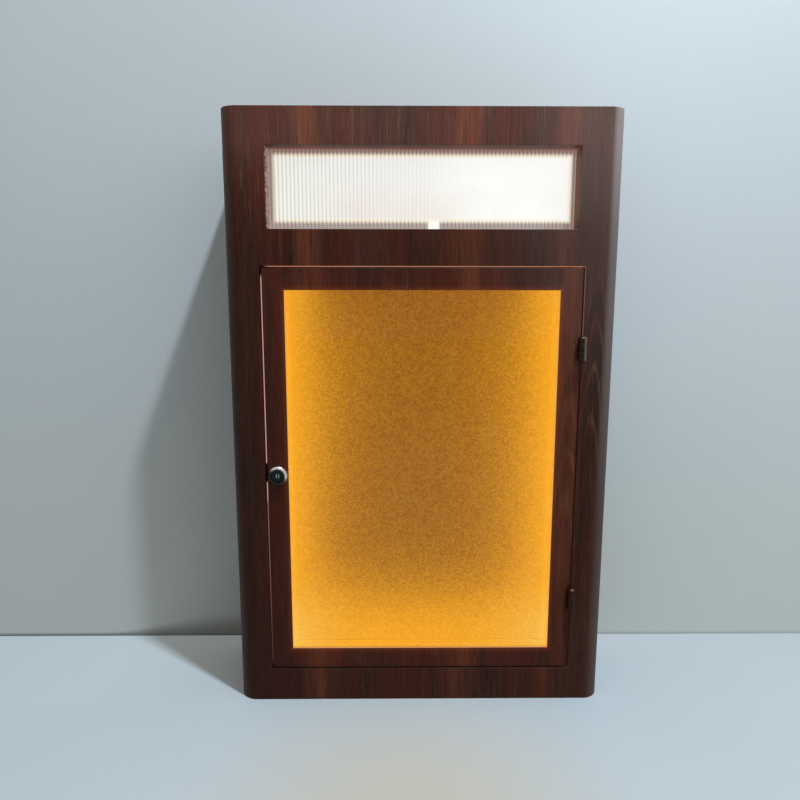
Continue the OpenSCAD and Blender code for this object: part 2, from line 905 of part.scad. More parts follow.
module internal_leads() {
    mid_y = driver_y0 + driver_w / 2;
    x = driver_l / 2 - lead_in;
    foot_z = channel_z0 + lead_up;
    strip_foot_z = channel_z0 + strip_start;
    color(rubber) from_front() {
        header_lead(mid_y);
        for (side = [-1, 1])
            strip_lead(side * x, mid_y, [side * channel_x, foot_z], [side * channel_x, strip_foot_z]);
        strip_lead(-x + lead_in, mid_y - 8, [-panel_half + lead_up, channel_z],
            [-panel_half + strip_start, channel_z]);
    }
}

// Door stops and their seal

module door_stop_bottom() {
    color(fibreboard) from_front()
        box([-inner_half, front_t, board_t], [inner_half, front_t + stop_t, leaf_z0 + stop_lap]);
}

module door_stop_right() {
    color(fibreboard) from_front()
        box([door_half - stop_lap_side, front_t, leaf_z0 + stop_lap],
            [inner_half, front_t + stop_t, divider_z]);
}

module door_seal() {
    low = leaf_z0 + (stop_lap - seal_w) / 2;
    side_x = door_half - stop_lap_side + (stop_lap_side - seal_w) / 2;
    color(rubber) from_front() {
        box([-door_half + 1, front_t - seal_t, low], [door_half - 1, front_t, low + seal_w]);
        box([side_x, front_t - seal_t, low + seal_w + 1], [side_x + seal_w, front_t, leaf_z1 - 1]);
    }
}

// Strike plate that the cam turns in behind

module strike_plate() {
    color(zinc) from_front() difference() {
        box([strike_x, front_t, lock_z - strike_h / 2],
            [strike_x + strike_w, front_t + strike_t, lock_z + strike_h / 2]);
        strike_screw_places() countersunk(strike_screw, strike_screw_l, screw_fit);
    }
}

module strike_screws() {
    color(zinc) from_front() strike_screw_places() flat_screw(strike_screw, strike_screw_l);
}

// Hinges: the frame leaf carries the two end knuckles, the door leaf the middle one

module knuckle(z0, l) {
    translate([hinge_x, hinge_y, z0]) cylinder(d = barrel_d, h = l);
}

// One leaf in the gap between door and frame; side 1 lies on the frame, side -1 on the door
module leaf_plate(side, z0, l) {
    near = hinge_x + side * (door_gap / 2 - leaf_t);
    far = hinge_x + side * door_gap / 2;
    box([min(near, far), hinge_y, z0], [max(near, far), leaf_d, z0 + l]);
}

module frame_leaf(z) {
    foot = z - hinge_l / 2;
    head = z + hinge_l / 2 - knuckle_l;
    color(bronze) from_front() difference() {
        union() {
            for (z0 = [foot, head]) {
                knuckle(z0, knuckle_l);
                leaf_plate(1, z0, knuckle_l);
            }
            intersection() {
                leaf_plate(1, foot, hinge_l);
                box([hinge_x, 0, foot], [open_half + 1, leaf_d, foot + hinge_l]);
            }
        }
        translate([hinge_x, hinge_y, foot - 1]) cylinder(d = hinge_pin_d, h = hinge_l + 2);
        hinge_screw_places(1) countersunk(hinge_screw, hinge_screw_l, screw_fit);
    }
}

module door_leaf(z) {
    foot = z - knuckle_l / 2;
    color(bronze) from_front() difference() {
        union() {
            knuckle(foot, knuckle_l);
            leaf_plate(-1, foot, knuckle_l);
            intersection() {
                leaf_plate(-1, z - hinge_l / 2, hinge_l);
                box([door_half - 1, 0, z - hinge_l / 2], [hinge_x, leaf_d, z + hinge_l / 2]);
            }
        }
        translate([hinge_x, hinge_y, foot - 1]) cylinder(d = hinge_pin_d + 2 * run_fit, h = knuckle_l + 2);
        hinge_screw_places(-1) countersunk(hinge_screw, hinge_screw_l, screw_fit);
    }
}

// Pin with a domed finial over each end of the barrel
module hinge_pin(z) {
    r = barrel_d / 2;
    p = hinge_pin_d / 2 - 0.01;
    h = hinge_l / 2;
    dome_r = (r * r + finial_h * finial_h) / (2 * finial_h);
    color(bronze) from_front() translate([hinge_x, hinge_y, z]) {
        cylinder(r = p, h = hinge_l + 1, center = true);
        for (turn = [0, 180]) rotate([turn, 0, 0]) translate([0, 0, h])
            rotate_extrude() intersection() {
                square([r, finial_h]);
                translate([0, finial_h - dome_r]) circle(r = dome_r, $fn = 96);
            }
    }
}

module hinge_upper_frame_leaf() {
    frame_leaf(hinge_zs[0]);
}

module hinge_lower_frame_leaf() {
    frame_leaf(hinge_zs[1]);
}

module hinge_upper_door_leaf() {
    door_leaf(hinge_zs[0]);
}

module hinge_lower_door_leaf() {
    door_leaf(hinge_zs[1]);
}

module hinge_upper_pin() {
    hinge_pin(hinge_zs[0]);
}

module hinge_lower_pin() {
    hinge_pin(hinge_zs[1]);
}

module hinge_frame_screws() {
    color(bronze) from_front() hinge_screw_places(1)
        flat_screw(hinge_screw, hinge_screw_l);
}

module hinge_door_screws() {
    color(bronze) from_front() hinge_screw_places(-1)
        flat_screw(hinge_screw, hinge_screw_l);
}

// Door: rebated stiles and rails joined by tenons

// Section of the door's members: outer edge at x = 0, rebate for the glass at the back
module member_plan() {
    difference() {
        square([member_w, door_t]);
        translate([member_w - rebate_w, lip_t]) square([rebate_w + eps, door_t]);
    }
}

// The rails' tenons, or with grow their mortises
module tenons(grow = 0) {
    mid_up = rail_core_h / 2;
    foot_x = sight_half + rebate_w;
    up = tenon_h / 2 + grow;
    for (z = [leaf_z0 + mid_up, leaf_z1 - mid_up])
        mirror_pair()
            box([foot_x - eps, tenon_y - grow, z - up],
                [foot_x + tenon_l + 3 * grow, tenon_y + tenon_t + grow, z + up]);
}

module stile() {
    difference() {
        translate([door_half, 0, leaf_z0])
            linear_extrude(door_h) mirror([1, 0]) member_plan();
        tenons(glue_fit);
    }
}

module door_stile_right() {
    color(film) from_front() difference() {
        stile();
        hinge_screw_places(-1) countersunk(hinge_screw, hinge_screw_l, screw_fit);
    }
}

module lock_barrel_plan(grow = 0) {
    intersection() {
        circle(d = lock_barrel_d + 2 * grow);
        square([lock_barrel_d + 1, lock_flat + 2 * grow], center = true);
    }
}

module door_stile_left() {
    color(film) from_front() difference() {
        mirror([1, 0, 0]) stile();
        translate([lock_x, -eps, lock_z])
            toward_back() linear_extrude(door_t + 2 * eps) rotate([0, 0, 90]) lock_barrel_plan(0.1);
    }
}

// A rail's lip ends at the stiles' inner edges and its core runs on into their rebates
module rail(z0, rebate_up) {
    core_z0 = rebate_up ? z0 : z0 + rail_rebate_w;
    color(film) from_front() {
        box([-sight_half, 0, z0], [sight_half, lip_t, z0 + member_w]);
        box([-sight_half - rebate_w, lip_t, core_z0],
            [sight_half + rebate_w, door_t, core_z0 + rail_core_h]);
        intersection() {
            tenons();
            box([-half_w, 0, z0], [half_w, door_t, z0 + member_w]);
        }
    }
}

module door_rail_top() {
    rail(leaf_z1 - member_w, false);
}

module door_rail_bottom() {
    rail(leaf_z0, true);
}

module door_glass() {
    reach = rebate_w - glass_gap;
    color(glass_tint) from_front()
        box([-sight_half - reach, lip_t, sight_z0 - glass_bed_z],
            [sight_half + reach, lip_t + glass_t, sight_z1 + glass_bed_z]);
}

// Section of a bead behind the glass: a short nose, then a bevel down to a thin foot
module bead_plan(w) {
    polygon([[0, 0], [w, 0], [w, bead_d], [w - bead_foot, bead_d], [0, bead_nose]]);
}

module bead_upright() {
    foot_z = rail_rebate_w - lay_fit;
    translate([sight_half + bead_back_upright, lip_t + glass_t, sight_z0 - foot_z])
        linear_extrude(sight_z1 - sight_z0 + 2 * foot_z)
            bead_plan(rebate_w - lay_fit - bead_back_upright);
}

module glazing_beads_upright() {
    color(film) from_front() mirror_pair() bead_upright();
}

module bead_level() {
    half = sight_half + bead_back_upright - lay_fit;
    translate([-half, 0, bead_back_level])
        rotate([90, 0, 90]) linear_extrude(2 * half) rotate([0, 0, 90]) mirror([0, 1])
            bead_plan(rail_rebate_w - lay_fit - bead_back_level);
}

module glazing_beads_level() {
    color(film) from_front() {
        translate([0, lip_t + glass_t, sight_z1]) bead_level();
        translate([0, lip_t + glass_t, sight_z0]) mirror([0, 0, 1]) bead_level();
    }
}

// Cam lock in the left stile

module at_lock() {
    translate([lock_x, 0, lock_z]) toward_back() children();
}

// Bezel: a round-topped ring about a recess, in front of a threaded barrel with two flats
module lock_body() {
    r = bezel_d / 2;
    bulge = bezel_h * 0.54;
    base = bezel_h - bulge;
    recess_d = plug_face_d + 4 * run_fit;
    color(chrome) from_front() at_lock() difference() {
        union() {
            rotate_extrude($fn = 96) {
                translate([0, -base]) square([r, base]);
                intersection() {
                    translate([0, -bezel_h]) square([r, bezel_h]);
                    translate([r - bulge, -base]) circle(r = bulge, $fn = 96);
                }
            }
            rotate([0, 0, 90]) linear_extrude(lock_end_y) lock_barrel_plan();
        }
        translate([0, 0, -bezel_h - 1]) cylinder(d = recess_d, h = plug_recess + plug_face_t + 1);
        translate([0, 0, -bezel_h - 1]) cylinder(d = plug_d + 2 * run_fit, h = lock_end_y + bezel_h + 2);
    }
}

module lock_nut() {
    color(zinc) from_front() at_lock() translate([0, 0, door_t]) difference() {
        cylinder(d = lock_nut_w / cos(30), h = lock_nut_t, $fn = 6);
        translate([0, 0, -eps]) cylinder(d = lock_barrel_d + 2 * screw_fit, h = lock_nut_t + 2 * eps);
    }
}

// Plug: a face with the key slot, a shaft and a square end for the cam
module lock_plug() {
    face_z = -bezel_h + plug_recess;
    shoulder = cam_y;
    end_z = cam_y + cam_t - 2 * run_fit;
    back_z = face_z + plug_face_t - 2 * run_fit;
    color(chrome) from_front() at_lock() difference() {
        union() {
            rotate_extrude() polygon([[0, face_z + plug_dish], [plug_face_d * 0.36, face_z + plug_dish],
                [plug_face_d / 2 - plug_rim, face_z], [plug_face_d / 2, face_z + plug_dish],
                [plug_face_d / 2, back_z], [plug_d / 2, back_z],
                [plug_d / 2, shoulder], [0, shoulder]]);
            translate([-plug_square / 2, -plug_square / 2, shoulder - eps])
                cube([plug_square, plug_square, end_z - shoulder + eps]);
        }
        translate([-key_slot[0] / 2, -key_slot[1] / 2, face_z - 1]) cube(key_slot);
        translate([0, 0, end_z - cam_screw_l - 1])
            cylinder(d = cam_screw[0] + 2 * screw_fit, h = cam_screw_l + 2, $fn = 32);
    }
}

// Cam: a flat arm with round ends, hanging down while the lock is open
module lock_cam() {
    r = cam_w / 2;
    tip_w = cam_w * 0.8;
    color(zinc) from_front() at_lock() translate([0, 0, cam_y]) difference() {
        linear_extrude(cam_t) {
            circle(r = r);
            polygon([[-r, 0], [r, 0], [tip_w / 2, cam_l - tip_w / 2], [-tip_w / 2, cam_l - tip_w / 2]]);
            translate([0, cam_l - tip_w / 2]) circle(d = tip_w);
        }
        translate([0, 0, -eps]) linear_extrude(cam_t + 2 * eps)
            square(plug_square + 2 * screw_fit, center = true);
    }
}

module cam_screw() {
    color(zinc) from_front() at_lock() translate([0, 0, cam_y + cam_t + screw_fit]) mirror([0, 0, 1])
        pan_screw(cam_screw, cam_screw_l);
}

front_frame();
left_side();
right_side();
top_board();
bottom_board();
divider_shelf();
carcass_dowels();
rear_cover();
rear_cover_screws();
hanger_plates();
hanger_screws();
cable_grommet();
ribbed_panel();
header_tray();
header_diffuser();
header_led_strips();
header_spacers();
header_tray_screws();
backing_board();
backing_cleats();
display_panel();
led_channel_left();
led_channel_right();
led_channel_bottom();
led_diffuser_left();
led_diffuser_right();
led_diffuser_bottom();
led_strip_left();
led_strip_right();
led_strip_bottom();
channel_screws();
led_driver();
driver_screws();
internal_leads();
door_stop_bottom();
door_stop_right();
door_seal();
strike_plate();
strike_screws();
hinge_upper_frame_leaf();
hinge_upper_door_leaf();
hinge_upper_pin();
hinge_lower_frame_leaf();
hinge_lower_door_leaf();
hinge_lower_pin();
hinge_frame_screws();
hinge_door_screws();
door_stile_left();
door_stile_right();
door_rail_top();
door_rail_bottom();
door_glass();
glazing_beads_upright();
glazing_beads_level();
lock_body();
lock_nut();
lock_plug();
lock_cam();
cam_screw();
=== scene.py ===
"""Illuminated display case: finishes, fine pieces and stage.

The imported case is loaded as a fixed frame. Each operator below dresses one group of its pieces,
or builds one finer piece from a formula, and the last one sets floor, wall, light and camera.
Lengths are metres, +Z is up, and the front of the case looks towards -Y.
"""
import math
from functools import reduce

import bpy
import numpy as np
from bpy.props import FloatProperty, FloatVectorProperty, IntProperty, PointerProperty
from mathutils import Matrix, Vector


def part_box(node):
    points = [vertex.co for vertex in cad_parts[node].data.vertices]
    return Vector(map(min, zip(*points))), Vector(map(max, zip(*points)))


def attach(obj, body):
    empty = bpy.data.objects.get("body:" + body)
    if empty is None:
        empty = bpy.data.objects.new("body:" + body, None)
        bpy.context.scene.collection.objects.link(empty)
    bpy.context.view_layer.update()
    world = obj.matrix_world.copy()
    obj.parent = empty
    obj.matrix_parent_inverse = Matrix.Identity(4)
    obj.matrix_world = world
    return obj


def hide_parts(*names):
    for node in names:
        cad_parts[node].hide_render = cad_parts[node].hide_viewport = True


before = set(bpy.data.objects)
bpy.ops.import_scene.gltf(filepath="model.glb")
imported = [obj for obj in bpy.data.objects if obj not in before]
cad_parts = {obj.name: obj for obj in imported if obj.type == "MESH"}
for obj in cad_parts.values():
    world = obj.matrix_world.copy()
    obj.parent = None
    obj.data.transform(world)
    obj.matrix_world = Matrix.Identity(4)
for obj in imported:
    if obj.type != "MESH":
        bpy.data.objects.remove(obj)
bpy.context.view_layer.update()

bl_info = {
    "name": "Illuminated display case",
    "version": (1, 0, 0),
    "blender": (4, 5, 0),
    "location": "View3D > Sidebar > Display case",
    "description": "Finishes, fine pieces and stage for a lit and glazed display case",
    "category": "Add Mesh",
}

MM = 0.001
FRONT_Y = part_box("front_frame")[0][1]
DOOR_GAP = 2 * MM
OPENING_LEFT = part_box("door_stile_left")[0][0] - DOOR_GAP
OPENING_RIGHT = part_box("door_stile_right")[1][0] + DOOR_GAP
OPENING_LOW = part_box("door_rail_bottom")[0][2] - DOOR_GAP
OPENING_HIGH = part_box("door_rail_top")[1][2] + DOOR_GAP
UNLIT = (0.0, 0.0, 0.0)


# Node trees in short calls

class Signal:
    """An output socket that plain arithmetic works on: each step adds one math node."""

    def __init__(self, net, socket):
        self.net = net
        self.socket = socket

    def __add__(self, other):
        return self.net.math("ADD", self, other)

    def __sub__(self, other):
        return self.net.math("SUBTRACT", self, other)

    def __rsub__(self, other):
        return self.net.math("SUBTRACT", other, self)

    def __mul__(self, other):
        return self.net.math("MULTIPLY", self, other)

    def __truediv__(self, other):
        return self.net.math("DIVIDE", self, other)

    def __pow__(self, other):
        return self.net.math("POWER", self, other)

    def __abs__(self):
        return self.net.math("ABSOLUTE", self)


class Net:
    """One node tree. Every input takes a signal, a socket, a number or a tuple of numbers."""

    def __init__(self, tree):
        self.tree = tree

    def feed(self, socket, value):
        """Link a socket, or set a constant, with an alpha added to a colour."""
        if isinstance(value, Signal):
            value = value.socket
        if isinstance(value, bpy.types.NodeSocket):
            self.tree.links.new(value, socket)
        elif socket.type == "RGBA":
            socket.default_value = (*tuple(value)[:3], 1.0)
        else:
            socket.default_value = value

    def node(self, kind, inputs=None, **settings):
        """A new node with its settings and inputs."""
        made = self.tree.nodes.new("ShaderNode" + kind)
        for name, value in settings.items():
            setattr(made, name, value)
        for key, value in (inputs or {}).items():
            self.feed(made.inputs[key], value)
        return made

    def take(self, output, kind, inputs=None, **settings):
        """One output of a new node."""
        return Signal(self, self.node(kind, inputs, **settings).outputs[output])

    def math(self, operation, *values):
        """One arithmetic step."""
        return self.take(0, "Math", dict(enumerate(values)), operation=operation)

    def most(self, *values):
        """The greatest of some numbers."""
        return reduce(lambda first, second: self.math("MAXIMUM", first, second), values)

    def least(self, *values):
        """The smallest of some numbers."""
        return reduce(lambda first, second: self.math("MINIMUM", first, second), values)

    def vector(self, operation, *values):
        """One arithmetic step on vectors, with a vector for its result."""
        return self.take(0, "VectorMath", dict(enumerate(values)), operation=operation)

    def measure(self, operation, *values):
        """One arithmetic step on vectors, with a number for its result."""
        return self.take(1, "VectorMath", dict(enumerate(values)), operation=operation)

    def scaled(self, place, gain):
        """A vector or a colour times a number."""
        return self.take(0, "VectorMath", {0: place, "Scale": gain}, operation="SCALE")

    def split(self, place):
        """The three parts of a vector."""
        return [Signal(self, part) for part in self.node("SeparateXYZ", {0: place}).outputs]

    def join(self, x=0.0, y=0.0, z=0.0):
        """A vector from three parts."""
        return self.take(0, "CombineXYZ", {0: x, 1: y, 2: z})

    def ramp(self, value, low, high, to_low=0.0, to_high=1.0):
        """A value carried from one range to another, eased and held at both ends."""
        ins = {0: value, 1: low, 2: high, 3: to_low, 4: to_high}
        return self.take(0, "MapRange", ins, interpolation_type="SMOOTHSTEP")

    def on(self, value, place):
        """1 where a value is within 0.3 mm of a place, and 0 from 0.6 mm."""
        return self.ramp(abs(value - place), 0.6 * MM, 0.3 * MM)

    def mix(self, share, first, second, blend="MIX"):
        """A colour between two colours."""
        ins = {0: share, 6: first, 7: second}
        return self.take(2, "Mix", ins, data_type="RGBA", blend_type=blend)

    def between(self, share, first, second):
        """A number between two numbers."""
        return self.take(0, "Mix", {0: share, 2: first, 3: second}, data_type="FLOAT")

    def noise(self, place, stretch=1.0, shift=(0.0, 0.0, 0.0), detail=2.0, rough=0.5):
        """Cloudy noise; stretch gives its features per metre, on all axes or along x, y and z."""
        if isinstance(stretch, float):
            stretch = (stretch, stretch, stretch)
        spot = self.take(0, "Mapping", {0: place, 1: shift, 3: stretch})
        ins = {"Vector": spot, "Scale": 1.0, "Detail": detail, "Roughness": rough}
        return self.take(0, "TexNoise", ins)

    def cells(self, place, count):
        """Distance to the nearest scattered point, and that point's random number."""
        spot = self.scaled(place, count)
        made = self.node("TexVoronoi", {"Vector": spot, "Scale": 1.0, "Randomness": 1.0})
        return Signal(self, made.outputs["Distance"]), self.split(made.outputs["Color"])[0]

    def bump(self, height, depth, normal=None):
        """A normal from a height that is depth metres at 1."""
        ins = {"Height": height, "Distance": depth, "Strength": 1.0}
        if normal is not None:
            ins["Normal"] = normal
        return self.take(0, "Bump", ins)

    def use(self, name, **inputs):
        """The outputs of a shared effect; an underscore in a key stands for a space."""
        made = self.tree.nodes.new("ShaderNodeGroup")
        made.node_tree = bpy.data.node_groups[name]
        for key, value in inputs.items():
            self.feed(made.inputs[key.replace("_", " ")], value)
        return [Signal(self, output) for output in made.outputs]

    def seen(self):
        """1 for rays from the camera and for rays that gloss or glass sends on."""
        rays = self.node("LightPath").outputs
        return self.most(rays["Is Camera Ray"], rays["Is Glossy Ray"], rays["Is Transmission Ray"])


def effect(name, inputs, outputs, build):
    """A node group with named sockets, filled by build(net, inputs), which returns the outputs."""
    tree = bpy.data.node_groups.new(name, "ShaderNodeTree")
    for label, kind, default in inputs:
        made = tree.interface.new_socket(label, in_out="INPUT", socket_type="NodeSocket" + kind)
        if kind == "Color":
            made.default_value = (*default, 1.0)
        elif kind == "Float":
            made.default_value = default
    for label, kind in outputs:
        tree.interface.new_socket(label, in_out="OUTPUT", socket_type="NodeSocket" + kind)
    net = Net(tree)
    start = tree.nodes.new("NodeGroupInput")
    end = tree.nodes.new("NodeGroupOutput")
    ins = {socket.name: Signal(net, socket) for socket in start.outputs}
    for socket, value in zip(end.inputs, build(net, ins)):
        net.feed(socket, value)


def empty_tree(made):
    """The emptied node tree of a material or a world."""
    made.use_nodes = True
    made.node_tree.nodes.clear()
    return Net(made.node_tree)


def finish(name, build, **constants):
    """A material: build(net, place) returns the shader's patterned inputs, constants the rest."""
    made = bpy.data.materials.new(name)
    net = empty_tree(made)
    shader = net.node("BsdfPrincipled")
    for key, value in constants.items():
        net.feed(shader.inputs[key.replace("_", " ")], value)
    for key, value in build(net, net.take("Object", "TexCoord")).items():
        net.feed(shader.inputs[key], value)
    net.node("OutputMaterial", {"Surface": shader.outputs[0]})
    return made


def dress(material, *names):
    """Give carried-over nodes a finish."""
    for name in names:
        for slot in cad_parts[name].material_slots:
            slot.material = material


def lengthwise(axis, along, across):
    """Features per metre of noise that runs along one axis."""
    return tuple(along if way == axis else across for way in range(3))


def toned(colour, gain):
    """A plain colour made paler or darker."""
    return tuple(min(1.0, v * gain) for v in colour)


# Shared effects

def build_soft_edges(net, ins):
    """Rounded normal near an edge, and a mask that is 1 on the edge itself."""
    soft = net.take(0, "Bevel", {"Radius": ins["Radius"]}, samples=6)
    flat = net.take("Normal", "NewGeometry")
    mask = net.ramp(net.measure("DOT_PRODUCT", soft, flat), 0.995, 0.86)
    return soft, mask


# Each noise: features per metre across and along the grain, shift, detail, roughness
FILM_NOISE = {
    "broad": (24.0, 2.2, (0.0, 0.0, 0.0), 3.0, 0.55),
    "middle": (120.0, 5.0, (3.1, 1.7, 0.4), 3.0, 0.55),
    "fine": (560.0, 26.0, (7.7, 2.9, 1.3), 3.0, 0.65),
    "fibre": (1500.0, 90.0, (1.9, 8.3, 4.1), 2.0, 0.6),
    "warm": (38.0, 3.6, (11.3, 4.7, 2.2), 2.0, 0.55),
    "loose": (17.0, 0.8, (5.3, 9.1, 6.6), 1.0, 0.4),
    "dash": (1250.0, 42.0, (2.3, 6.1, 9.4), 1.0, 0.5),
    "hair": (900.0, 8.0, (4.4, 3.2, 7.9), 2.0, 0.55),
}
STREAK_CORE = 1 * MM
STREAKS = (("Streak 1", 21 * MM, 1.0), ("Streak 2", 25 * MM, 0.65), ("Streak 3", 20 * MM, 0.6))
ARCH_FIRST = 40 * MM
ARCH_GROWTH = 0.06
ARCH_BEND = 450.0
ARCH_DARK = (0.017, 0.0125, 0.0075)
PORE_DARK = (0.008, 0.004, 0.003)


def film_streaks(net, ins, field, x):
    """Weight of the reddish streaks: the placed ones, each with its reach, and the loose ones."""
    streak = net.ramp(field["loose"], 0.60, 0.74) * ins["Streaks"]
    for key, reach, weight in STREAKS:
        streak = net.most(streak, net.ramp(abs(x - ins[key]), reach, STREAK_CORE) * weight)
    return (streak * net.ramp(field["middle"], 0.30, 0.60, 0.45, 1.0)
            * net.ramp(field["fine"], 0.30, 0.65, 0.6, 1.0))


def film_arches(net, ins, fine, x, z, waver):
    """The figure: shade between its nested arches, and a pale line along each of them.

    With s = z0 - z - bend (x - x0)^2, one arch stands at each whole number of
    s / (first + growth s), so the arches open out downwards.
    """
    off = x - ins["Arch X"]
    below = ins["Arch Z"] - z
    drop = below - off * off * ARCH_BEND + waver
    turns = drop / (drop * ARCH_GROWTH + ARCH_FIRST)
    rings = net.math("COSINE", turns * (2.0 * math.pi))
    within = (net.ramp(abs(off), 22 * MM, 10 * MM) * net.ramp(drop, -6 * MM, 0.0)
              * net.ramp(below, 260 * MM, 120 * MM) * ins["Arch"])
    shade = net.ramp(rings, 0.75, -0.9) * within
    line = (net.ramp(rings, 0.72, 0.98) * within
            * net.ramp(off, -12 * MM, 6 * MM, 0.25, 1.0)
            * net.ramp(below, 20 * MM, 90 * MM, 0.35, 1.0)
            * net.ramp(fine, 0.32, 0.58, 0.1, 1.0))
    return shade, line


def build_film(net, ins):
    """Wood film: bands, fibres and pores are noise stretched along z and bent by a slow drift."""
    seed = ins["Seed"]
    shift = net.join(seed * 0.317, seed * 0.173, seed * 0.731)
    place = net.vector("ADD", ins["Vector"], shift)
    sway = net.noise(place, (9.0, 9.0, 3.1)) - 0.5
    ripple = net.noise(place, (60.0, 60.0, 17.0), detail=1.0) - 0.5
    drift = sway * (16 * MM) + ripple * (2.2 * MM)
    bent = net.vector("ADD", place, net.join(drift, drift))
    field = {name: net.noise(bent, (across, across, along), *rest)
             for name, (across, along, *rest) in FILM_NOISE.items()}
    x, _, z = net.split(net.vector("ADD", ins["Vector"], net.join(drift)))

    fine = field["fine"]
    tone = field["broad"] * 0.34 + field["middle"] * 0.18 + fine * 0.27 + field["fibre"] * 0.21
    colour = net.mix(net.ramp(tone, 0.36, 0.66), ins["Dark"], ins["Mid"])
    colour = net.mix(net.ramp(field["warm"], 0.42, 0.64) * 0.55, colour, ins["Red"])
    colour = net.mix(film_streaks(net, ins, field, x) * 0.66, colour, ins["Streak"])
    waver = sway * (52 * MM) + ripple * (20 * MM)
    shade, line = film_arches(net, ins, fine, x, z, waver)
    colour = net.mix(shade * 0.45, colour, ARCH_DARK)
    colour = net.mix(line * 0.55, colour, ins["Pale"])
    pores = net.ramp(field["dash"], 0.63, 0.74)
    colour = net.mix(pores * 0.75, colour, PORE_DARK)
    colour = net.mix(net.ramp(field["hair"], 0.54, 0.74) * 0.30, colour, ins["Pale"])

    roughness = net.ramp(fine, 0.2, 0.8, 0.36, 0.50) + pores * 0.12
    return colour, roughness, fine * 0.5 - pores * 0.5


def build_handling(net, ins):
    """Dust on faces that look up, and wiped smudges on all faces."""
    up = net.split(net.take("Normal", "NewGeometry"))[2]
    motes = net.noise(ins["Vector"], 900.0, detail=4.0, rough=0.7)
    cloud = net.noise(ins["Vector"], 14.0, detail=3.0)
    dust = (net.ramp(up, 0.35, 0.95) * net.ramp(cloud, 0.3, 0.7, 0.35, 1.0)
            * net.ramp(motes, 0.35, 0.7, 0.3, 1.0))
    wiped = net.noise(ins["Vector"], (26.0, 26.0, 9.0), (3.3, 0.4, 5.2), 3.0, 0.55)
    smudge = net.ramp(wiped, 0.45, 0.72)
    return dust * ins["Dust"], smudge * ins["Smudge"]


def build_metal(net, ins):
    """Brushed or drawn metal: lines along one way, set by Stretch, plus a few deeper scratches."""
    spot = net.vector("MULTIPLY", ins["Vector"], ins["Stretch"])
    lines = net.noise(spot, detail=3.0, rough=0.6)
    stain = net.noise(ins["Vector"], 70.0, (6.2, 1.1, 3.8), 3.0, 0.55)
    turned = net.vector("MULTIPLY", ins["Vector"], (260.0, 90.0, 1900.0))
    scratch = net.ramp(net.noise(turned, shift=(5.0, 5.0, 5.0), detail=1.0), 0.70, 0.78)
    tone = lines * 0.5 + stain * 0.5
    height = lines - scratch * 0.8
    return net.ramp(tone, 0.32, 0.68), scratch, height


def build_moulded(net, ins):
    """Moulded or sprayed skin: fine stipple over slow waves."""
    stipple = net.noise(net.scaled(ins["Vector"], ins["Grain"]), detail=3.0, rough=0.6)
    waves = net.noise(ins["Vector"], 45.0, (2.1, 7.4, 0.6))
    return net.ramp(waves, 0.3, 0.7), stipple


GRAINS_PER_METRE = 720.0
GRAIN_SWING = (0.41, 0.67, 0.50)
AMBER_CORNER = (0.930, 0.500, 0.065)
AMBER_BROWN_AND_SHADE = (0.290, 0.083, 0.0)


def build_amber(net, ins):
    """Amber granules, lit from the left, the right and the lower edge of a field.

    The glow of one edge falls off as exp(-(distance / reach)^p); the three are screened
    together, 1 - (1 - left)(1 - right)(1 - lower). GRAIN_SWING says how far a granule's red,
    green and blue swing.
    """
    place = ins["Vector"]
    x, _, z = net.split(place)

    def falloff(distance, share, power):
        way = net.most(distance / (ins["Reach"] * share), 0.0)
        return net.math("EXPONENT", way ** power * -1.0)

    left = falloff(x - ins["Left"], 1.0, 1.25)
    right = falloff(ins["Right"] - x, 1.08, 1.25)
    lower = falloff(z - ins["Low"], 1.55, 1.9)
    level = 1.0 - (1.0 - left) * (1.0 - right) * (1.0 - lower)
    colour = net.mix(level, ins["Middle"], ins["Edge"])
    # Painted light: brighter amber where the lower channel's glow meets a side channel's.
    corner = lower ** 2.0 * net.most(left, right) ** 1.5
    colour = net.mix(corner, colour, AMBER_CORNER)
    # Painted shade: browner towards the head, away from the lit edges, plus random brown patches;
    # less where well lit.
    drift = net.ramp(net.noise(place, (11.0, 11.0, 7.0)), 0.35, 0.75, 0.0, 0.22)
    head = net.ramp(ins["High"] - z, 90 * MM, 0.0, 0.0, 0.5)
    brown = (head + drift) * net.ramp(level, 0.25, 0.80, 0.7, 0.10)
    colour = net.mix(brown, colour, AMBER_BROWN_AND_SHADE)

    spot, grain = net.cells(place, GRAINS_PER_METRE)
    fine = net.noise(place, 1250.0, rough=0.65)
    speck = grain * 0.62 + fine * 0.30 + ins["Clump"] * 0.08
    calm = 1.0 - level * 0.76
    swing = (net.ramp(speck, 0.25, 0.75) - 0.5) * calm
    swings = net.join(*(swing * share for share in GRAIN_SWING))
    shaded = net.vector("MULTIPLY", colour, net.vector("ADD", swings, (1.0, 1.0, 1.0)))
    return shaded, fine, grain - spot * 0.8


